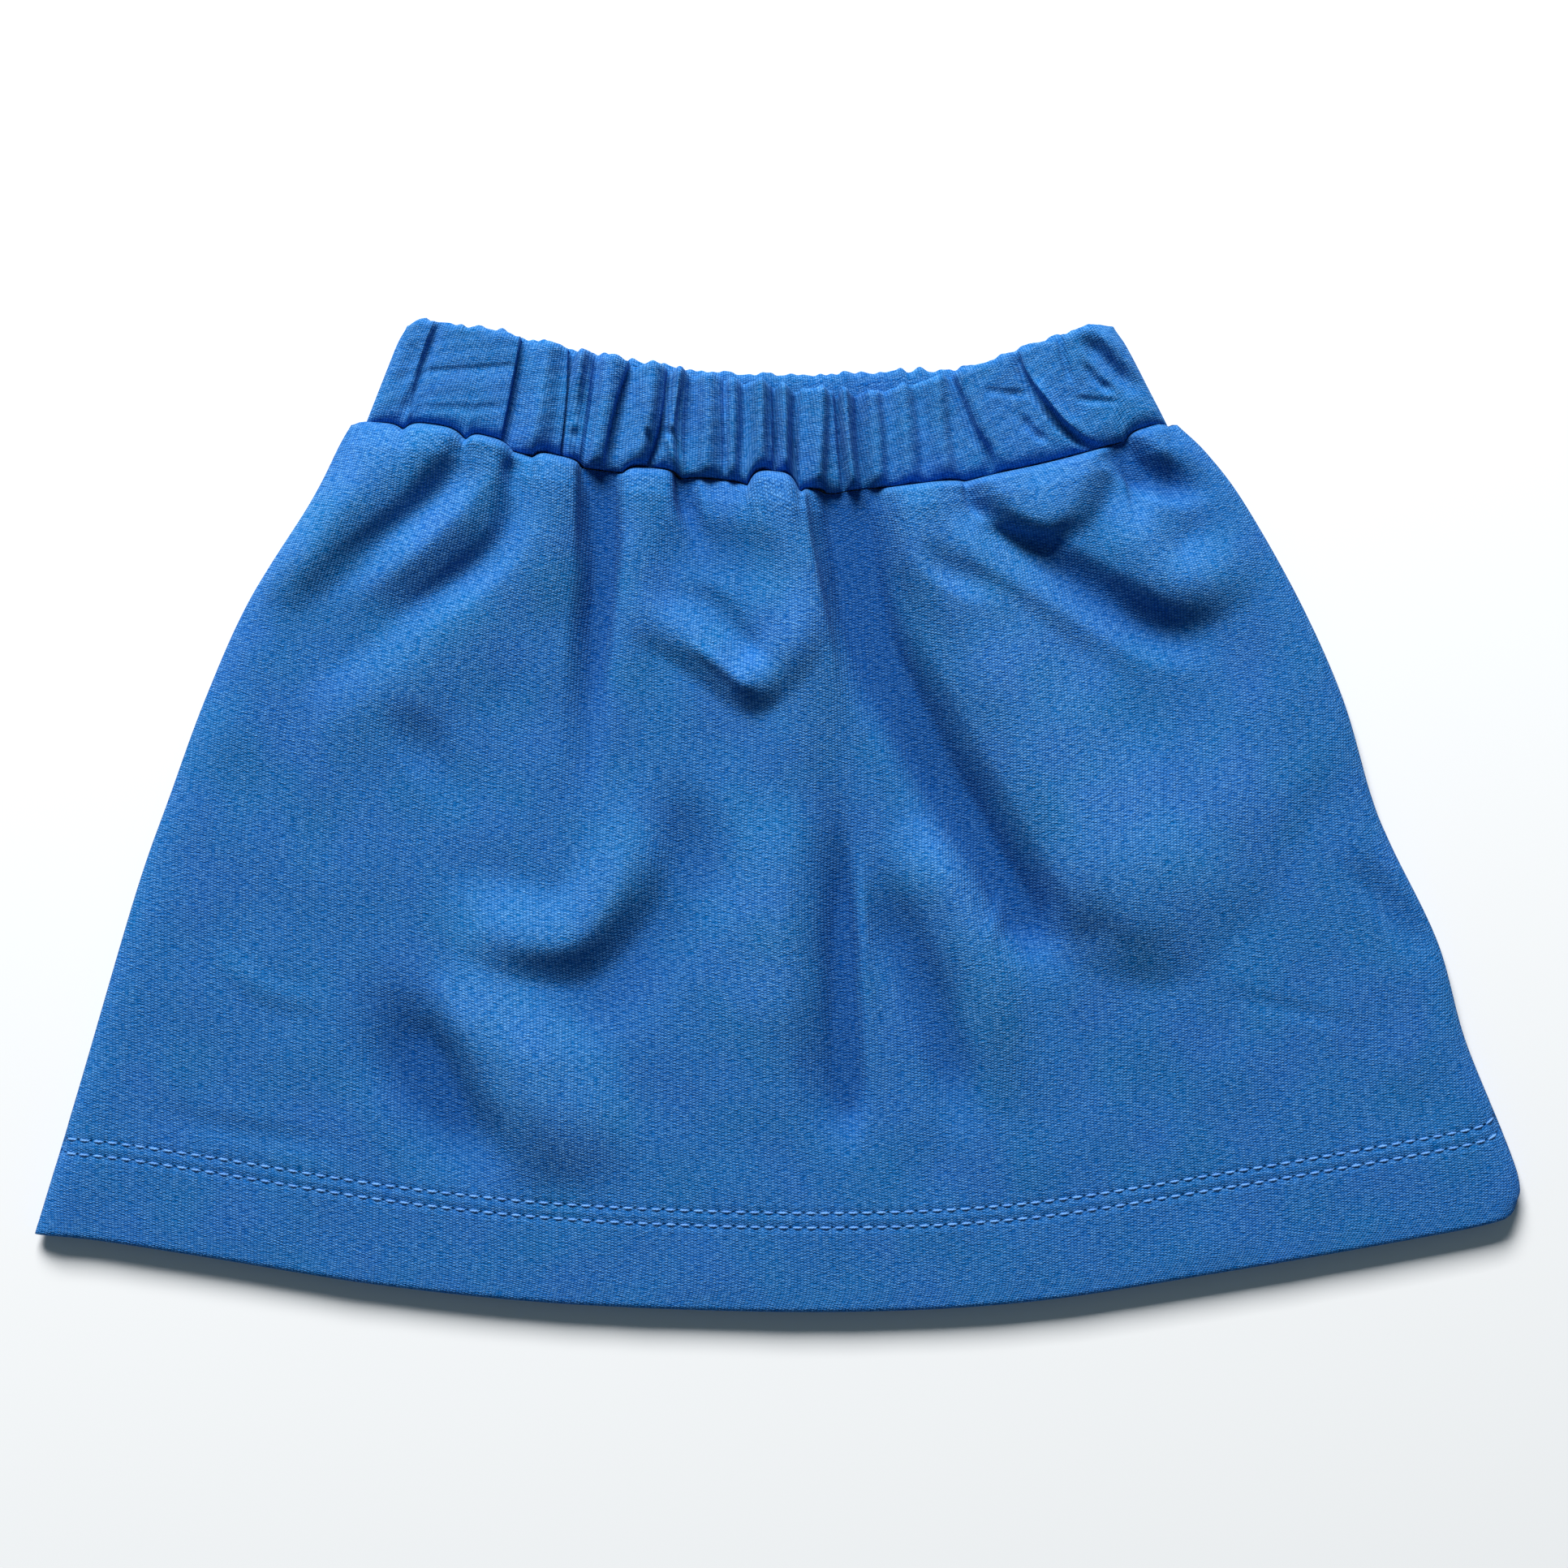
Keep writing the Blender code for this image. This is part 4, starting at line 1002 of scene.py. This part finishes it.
# %% Gathers of the waistband
Gather = namedtuple("Gather", "top low height left right lean bend start end", defaults=(0.0, 0.0, 0.0, 0.0))
FRONT_GATHERS = (
    Gather(-84.0, -92.4, -1.0, 6.0, 1.5, -0.5, -1.5, 0.2, 0.1),
    Gather(-63.0, -69.6, -2.8, 7.5, 1.3, -1.3, 0.3),
    Gather(-57.0, -62.0, 1.6, 5.0, 6.0),
    Gather(-51.4, -54.3, -3.0, 2.8, 1.3, -1.2, 0.8),
    Gather(-47.8, -52.2, 2.0, 1.9, 2.3, -0.3, -1.0),
    Gather(-45.4, -49.8, -1.6, 2.6, 1.2, 0.0, 0.6, 0.2),
    Gather(-40.2, -46.6, 1.8, 4.2, 4.4),
    Gather(-35.4, -43.6, -2.4, 4.4, 1.3, -1.0, -0.9, 0.0, 0.3),
    Gather(-30.4, -36.8, 2.0, 3.4, 4.6, 0.4, 0.9),
    Gather(-26.6, -33.8, -2.8, 1.9, 1.4, -0.8, 1.9),
    Gather(-24.0, -25.0, 2.1, 2.2, 2.0, 0.4, -2.4),
    Gather(-21.4, -22.6, -1.6, 4.6, 1.3, 0.0, -1.0, 0.0, 0.3),
    Gather(-17.2, -18.0, 1.5, 3.4, 3.4, 0.0, 0.3, 0.1, 0.1),
    Gather(-13.3, -13.4, -1.2, 1.2, 1.2, 0.0, 0.2, 0.0, 0.3),
    Gather(-11.2, -11.6, 1.4, 2.2, 2.0, 0.0, 0.3, 0.0, 0.2),
    Gather(-5.2, -6.0, 1.2, 3.0, 3.2, 0.0, 0.3, 0.0, 0.2),
    Gather(-8.6, -9.6, -1.5, 5.0, 1.3, 0.0, 0.5, 0.0, 0.5),
    Gather(-3.2, -2.8, 1.5, 1.5, 3.5, 0.0, -0.3),
    Gather(-1.1, -0.9, -3.2, 1.1, 1.0, 0.0, 0.4),
    Gather(1.6, 1.8, 2.1, 1.9, 1.9, 0.0, 0.3),
    Gather(5.0, 4.6, -2.6, 1.7, 1.8, 0.0, -0.5),
    Gather(10.8, 9.6, 2.3, 3.0, 3.6, 0.5, 0.2, 0.12),
    Gather(14.6, 17.2, -3.4, 1.1, 1.1, 0.0, -0.2),
    Gather(16.8, 19.8, 2.3, 1.7, 1.7, 0.0, -0.4),
    Gather(19.6, 22.0, -3.0, 3.2, 1.1, 0.0, -0.6),
    Gather(23.4, 25.6, 1.3, 3.2, 2.6, 0.0, 0.3, 0.1, 0.1),
    Gather(26.5, 28.5, -1.0, 2.6, 2.0, 0.0, 0.5, 0.1, 0.3),
    Gather(31.0, 33.5, 1.3, 3.0, 3.0, 0.0, 0.4),
    Gather(34.5, 37.5, -1.1, 2.6, 1.8, 0.0, 0.4, 0.2, 0.2),
    Gather(39.5, 43.5, 1.5, 3.2, 3.6, 0.0, -0.4),
)
BAND_CREASES = (
    Fold("slipped lap", ((42.5, 112), (46.0, 103.5), (49.0, 96.5), (52.6, 90.5), (53.4, 84)),
         -2.0, 2.0, 2.0, 0.0, 0.0, 0.6),
    Fold("slipped lap's rib", ((46.2, 113), (49.8, 104), (53.0, 96.5), (56.6, 90), (58, 84)),
         1.1, 3.0, 3.0, 0.0, 0.1),
    Fold("short crease", ((51.0, 107.1), (57.5, 106.2), (63.5, 105.8)), -0.5, 1.6, 1.8, 0.3, 0.1),
    Fold("long lap",
         ((59.0, 118), (60.3, 112.2), (63.2, 107), (67, 102), (71, 97.3), (75.8, 93.7), (82, 91.5)),
         -2.2, 2.4, 1.4, 0.1, 0.1, 1.6),
    Fold("long lap's rib", ((64, 109), (68, 103.5), (72.5, 98.8), (77.5, 95)), 1.5, 3.0, 2.0, 0.2, 0.3),
    Fold("inner crease", ((60.2, 101.4), (64.8, 95.8), (69.6, 93)), -1.1, 2.0, 1.6, 0.3, 0.4),
    Fold("upper nick", ((70.8, 121), (72.8, 112), (74.8, 107.4)), -1.1, 1.5, 1.4, 0.0, 0.4),
    Fold("flat crease", ((74.4, 105), (80, 104.2), (86, 103.9)), -0.6, 1.5, 1.7, 0.2, 0.3),
    Fold("corner lap", ((77.4, 120), (83, 114.3), (88.4, 108.6), (91, 104.6)), -2.2, 3.0, 3.4, 0.15, 0.4),
    Fold("corner lap's rib", ((82, 121), (88, 114.5), (93, 107)), 0.9, 3.5, 4.0, 0.1, 0.4),
    Fold("corner crease", ((77, 113.6), (80.6, 108.8), (86, 106)), -1.1, 1.8, 1.8, 0.2, 0.4),
    Fold("left crease", ((-88, 111.8), (-78, 112.3), (-66, 113.2)), -0.55, 1.2, 3.0, 0.05, 0.05),
    Fold("lower left crease", ((-92, 103), (-80, 102.6), (-69, 102.8)), -0.3, 1.2, 2.6, 0.1, 0.1),
    Fold("left bend", ((-91, 118.5), (-93.5, 110.5), (-98, 107)), -0.8, 3.0, 3.0, 0.2, 0.4),
    Fold("left lap", ((-85, 123), (-88, 115), (-92, 105), (-95.5, 98)), -0.9, 2.2, 2.2, 0.0, 0.2),
    Fold("notch 1", ((-50.5, 98), (-50.9, 91), (-50, 88)), -1.4, 1.2, 1.2, 0.3, 0.0),
    Fold("notch 2", ((-33.4, 98), (-32, 92), (-32.7, 87)), -1.0, 1.2, 1.2, 0.3, 0.0),
    Fold("notch 3", ((-28, 98), (-26, 93), (-24.6, 86)), -1.3, 1.6, 1.3, 0.2, 0.0),
)


def gather_fold(gather, top_edge):
    """A row of the gathers' table as a fold that runs across the waistband."""
    top = (gather.top, height_at(top_edge, gather.top) + 3)
    low = (gather.low, height_at(WAIST_SEAM, gather.low) - 3)
    middle = ((top[0] + low[0]) / 2 + gather.bend, (top[1] + low[1]) / 2)
    return Fold("gather", (top, middle, low), *gather[2:5], gather.start, gather.end, gather.lean)


def back_gather(number):
    """One of the back's own gathers: a hollow in the face that lies on the table."""
    share = (number + 0.5 + 0.3 * np.sin(1.9 * number)) / BACK_GATHERS
    top = FRONT_BAND_TOP[0][0] + share * (FRONT_BAND_TOP[-1][0] - FRONT_BAND_TOP[0][0])
    low = BAND_LOW_LEFT + share * (BAND_LOW_RIGHT - BAND_LOW_LEFT)
    path = ((top, height_at(BACK_BAND_TOP, top) + 3), (low, height_at(WAIST_SEAM, low) - 3))
    return Fold(f"back band gather {number}", path, BACK_LIFT, 2.6, 2.2, 0.0, 0.0)


print(len(FRONT_GATHERS), "gathers and", len(BAND_CREASES), "creases in the front of the waistband")

# %% [markdown]
# # The two halves of the waistband
# Each half is a folded casing: thick where the elastic fills it, round along its top edge and pinched at
# the seam. One function makes both from a section and the gathers. The front half stands up in ribs. The
# back half lies flat on the table, and only its inside shows above the front's lower edge.

# %% Waistband
BAND_COLUMNS, BAND_ROLL = 560, 5.0
BAND_WIDTH, BAND_DEPTH = 190.0, 26.0  # at half its depth, and from its top edge to the seam
TOP_RADIUS = 1.9  # of the rolled top edge
SEAM_RADIUS = 4.4  # how far up from the seam the waistband starts to roll down to it
SEAM_SHARE = 0.16  # how thick it still is at the seam
CUT_BAND, CUT_BAND_DEPTH = 230.0, 36.0  # half the length and half the width of the waistband's strip
BAND_CREST = 0.4  # how much the front stands above its own thickness
BAND_INNER_ROWS = 6
CORNER, CORNER_DROP = 4.0, 1.5  # how the two top corners round off
END_REACH, END_DROP = 9.0, 0.9  # the two lower corners close over the side seams
RIB_RISE, SLIT_DEPTH = 1.7, 1.1  # the ribs stand higher than the slits are deep
EDGE_REACH, FRILL = 4.0, 0.26  # how far down the top edge is uneven, and by how much it frills


def band_section(depth, rows):
    """The outer face, as distances below the top edge and shares of the thickness, down to the seam."""
    turn = np.linspace(np.pi, 0, 11)
    top = np.stack([TOP_RADIUS * (1 - np.sin(turn)), (1 + np.cos(turn)) / 2], -1)
    flat = np.linspace(TOP_RADIUS, depth - SEAM_RADIUS, rows)[1:-1]
    swell = 1 + 0.05 * np.sin(np.pi * (flat - TOP_RADIUS) / (depth - SEAM_RADIUS - TOP_RADIUS))
    drop = np.linspace(0, np.pi / 2, 12)
    share = SEAM_SHARE + (1 - SEAM_SHARE) * np.cos(drop)
    seam = np.stack([depth - SEAM_RADIUS + SEAM_RADIUS * np.sin(drop), share], -1)
    return np.concatenate([top, np.stack([flat, swell], -1), seam])


def band_piece(name, top_edge, folds, is_front, face_rows):
    section = band_section(BAND_DEPTH, face_rows)
    across, share = np.meshgrid(side_shares(BAND_COLUMNS, BAND_ROLL, BAND_WIDTH), section[:, 1])
    down = np.repeat(section[:, :1] / BAND_DEPTH, across.shape[1], axis=1)
    top_x = FRONT_BAND_TOP[0][0] + across * (FRONT_BAND_TOP[-1][0] - FRONT_BAND_TOP[0][0])
    low_x = BAND_LOW_LEFT + across * (BAND_LOW_RIGHT - BAND_LOW_LEFT)
    to_end = np.minimum(across, 1 - across) * (BAND_LOW_RIGHT - BAND_LOW_LEFT)
    end_drop = END_DROP * np.clip(1 - to_end / END_REACH, 0, 1)
    low_y = height_at(WAIST_SEAM, low_x) + seam_rise(low_x) + GAP - end_drop
    top_y = height_at(top_edge, top_x)
    x, y = (1 - down) * top_x + down * low_x, (1 - down) * top_y + down * low_y
    relief = relief_of(x, y, folds)
    # painted shade and highlight for the waistband: the front half's ribs and slits give its lift, the back
    # half lies level
    shade = (0.8 * relief.height + 0.6) * is_front + 1.0
    cloth = np.stack([(across - 0.5) * CUT_BAND, down * CUT_BAND_DEPTH, shade], -1)
    uneven = ripple(cloth[..., 0], cloth[..., 1], 5.0, 26.0, 12, seed=3)
    at_edge = np.exp(-((down * BAND_DEPTH / EDGE_REACH) ** 2))
    width = x[:, -1:] - x[:, :1]
    _, lying = rolled(np.minimum(across, 1 - across) * width, BAND_ROLL)
    if is_front:
        inside, bed = BAND + GAP, BAND + GAP + BAND_SIDE
        ribs = relief.height * np.where(relief.height > 0, RIB_RISE, SLIT_DEPTH)
        face = inside + (BAND + BAND_CREST) * share + (ribs + 0.2 * uneven) * share
        z = bed + (np.maximum(face, inside + 0.25) - bed) * lying
        z = np.where(share < 0.02, inside, z)
    else:
        inside = BAND
        bulge = np.clip(relief.height, 0, BACK_LIFT)
        flat_share = np.minimum(share, 1.0)  # the table stops the swell
        z = inside - (inside - bulge) * flat_share * lying - BAND_SIDE * flat_share * (1 - lying)
        z = np.minimum(z, inside - 0.02 * share)
    scallop = np.clip(relief.height, -1.6, 2.0) * (0.45 if is_front else 0.9)
    corner = np.clip(1 - np.minimum(across, 1 - across) * width / CORNER, 0, 1) ** 2
    scallop = scallop - CORNER_DROP * corner
    x = x + relief.move_x * np.clip(share * 1.6, 0, 1)
    frill = ripple(cloth[..., 0], 0 * cloth[..., 1], 2.4, 8.0, 10, seed=8)
    y = y + (scallop + 0.10 * uneven + FRILL * frill) * at_edge
    outer = Skin(np.stack([x, y, z], -1), cloth)
    rows = len(section)
    inner_down = np.linspace((TOP_RADIUS + 0.8) / BAND_DEPTH, 1, BAND_INNER_ROWS)[:, None]
    inner_x = (1 - inner_down) * top_x[:1] + inner_down * low_x[:1]
    inner_y = (1 - inner_down) * (top_y[:1] + scallop[:1] - 0.6) + inner_down * low_y[:1]
    inner_z = np.full_like(inner_x, inside)
    flat_x = np.repeat(cloth[:1, :, 0], BAND_INNER_ROWS, axis=0)
    flat_y = inner_down * CUT_BAND_DEPTH + 0 * inner_x
    flat = np.stack([flat_x, flat_y, np.zeros_like(inner_x)], -1)
    inner = Skin(np.stack([inner_x, inner_y, inner_z], -1), flat)
    matches = [int(k) for k in np.linspace(0, rows - 1, BAND_INNER_ROWS)]
    return wall_object(name, outer, inner, matches, band_jersey)


front_folds = [gather_fold(gather, FRONT_BAND_TOP) for gather in FRONT_GATHERS]
band_front = band_piece("waistband_front_cloth", FRONT_BAND_TOP, [*front_folds, *BAND_CREASES], True, 64)
back_folds = [back_gather(number) for number in range(BACK_GATHERS)]
band_back = band_piece("waistband_back_cloth", BACK_BAND_TOP, back_folds, False, 24)
report(band_front)
report(band_back)

# %% [markdown]
# # The table and the window
# The skirt lies on a plain white table. The folds are read by their shade, so one large window stands
# beyond the waist, a little to the left, low enough for every hollow to keep a dark side. The room gives
# back only a little pale blue light, which leaves the hollows deep and blue.

# %% Table and light
TABLE_WHITE = (0.93, 0.93, 0.93, 1.0)
TABLE_HALF = 2.0  # m
ROOM_LIGHT, ROOM_COLOUR = 0.12, (0.62, 0.86, 1.0, 1.0)
WINDOW_PLACE = (-0.50, 2.33, 1.60)
WINDOW_SIZE, WINDOW_POWER = (1.5, 1.0), 151.0

corners = [(x * TABLE_HALF, y * TABLE_HALF, 0) for x, y in ((-1, -1), (1, -1), (1, 1), (-1, 1))]
table_mesh = bpy.data.meshes.new("floor")
table_mesh.from_pydata(corners, [], [(0, 1, 2, 3)])
table_mesh.materials.append(Finish("white table", {"Base Color": TABLE_WHITE, "Roughness": 0.9}).material)
table = bpy.data.objects.new("floor", table_mesh)
bpy.context.scene.collection.objects.link(table)
table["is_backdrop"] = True

room = bpy.data.worlds.new("pale blue room")
room.use_nodes = True
room.node_tree.nodes["Background"].inputs["Color"].default_value = ROOM_COLOUR
room.node_tree.nodes["Background"].inputs["Strength"].default_value = ROOM_LIGHT
bpy.context.scene.world = room

window = bpy.data.objects.new("window", bpy.data.lights.new("window", "AREA"))
window.data.shape, window.data.energy = "RECTANGLE", WINDOW_POWER
window.data.size, window.data.size_y = WINDOW_SIZE
window.location = WINDOW_PLACE
window.rotation_euler = (-Vector(WINDOW_PLACE)).to_track_quat("-Z", "Y").to_euler()
bpy.context.scene.collection.objects.link(window)
bpy.context.scene.view_settings.view_transform = "Standard"
slant = math.degrees(math.atan2(WINDOW_PLACE[2], math.hypot(*WINDOW_PLACE[:2])))
print(f"window {slant:.0f} degrees above the table")

# %% [markdown]
# # What each piece stands for
# Each piece of cloth takes the place of its own solid and rides with the skirt's only body. The cut of a
# panel is a trapezoid, 255 mm wide at the waist and 375 mm at the hem, and the waistband's strip is 460
# mm long and is halved here between its two pieces.

for piece, node, finish in (
    (front, "front_panel", "panel_jersey"),
    (back, "back_panel", "panel_jersey"),
    (band_front, "waistband_front", "waistband_jersey"),
    (band_back, "waistband_back", "waistband_jersey"),
):
    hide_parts(node)
    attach(piece, "root")
for piece in (front_stitches, back_stitches):
    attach(piece, "root")

# %% [markdown]
# # The two boxes
# The dressed skirt should stay close to the box of its solids. Both boxes are measured and kept, so that
# anyone can compare them.

# %% Sizes
sizes = {"solids": SOLIDS_BOX, "visual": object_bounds()}
sizes = {name: [list(corner) for corner in box] for name, box in sizes.items()}
print(sizes)
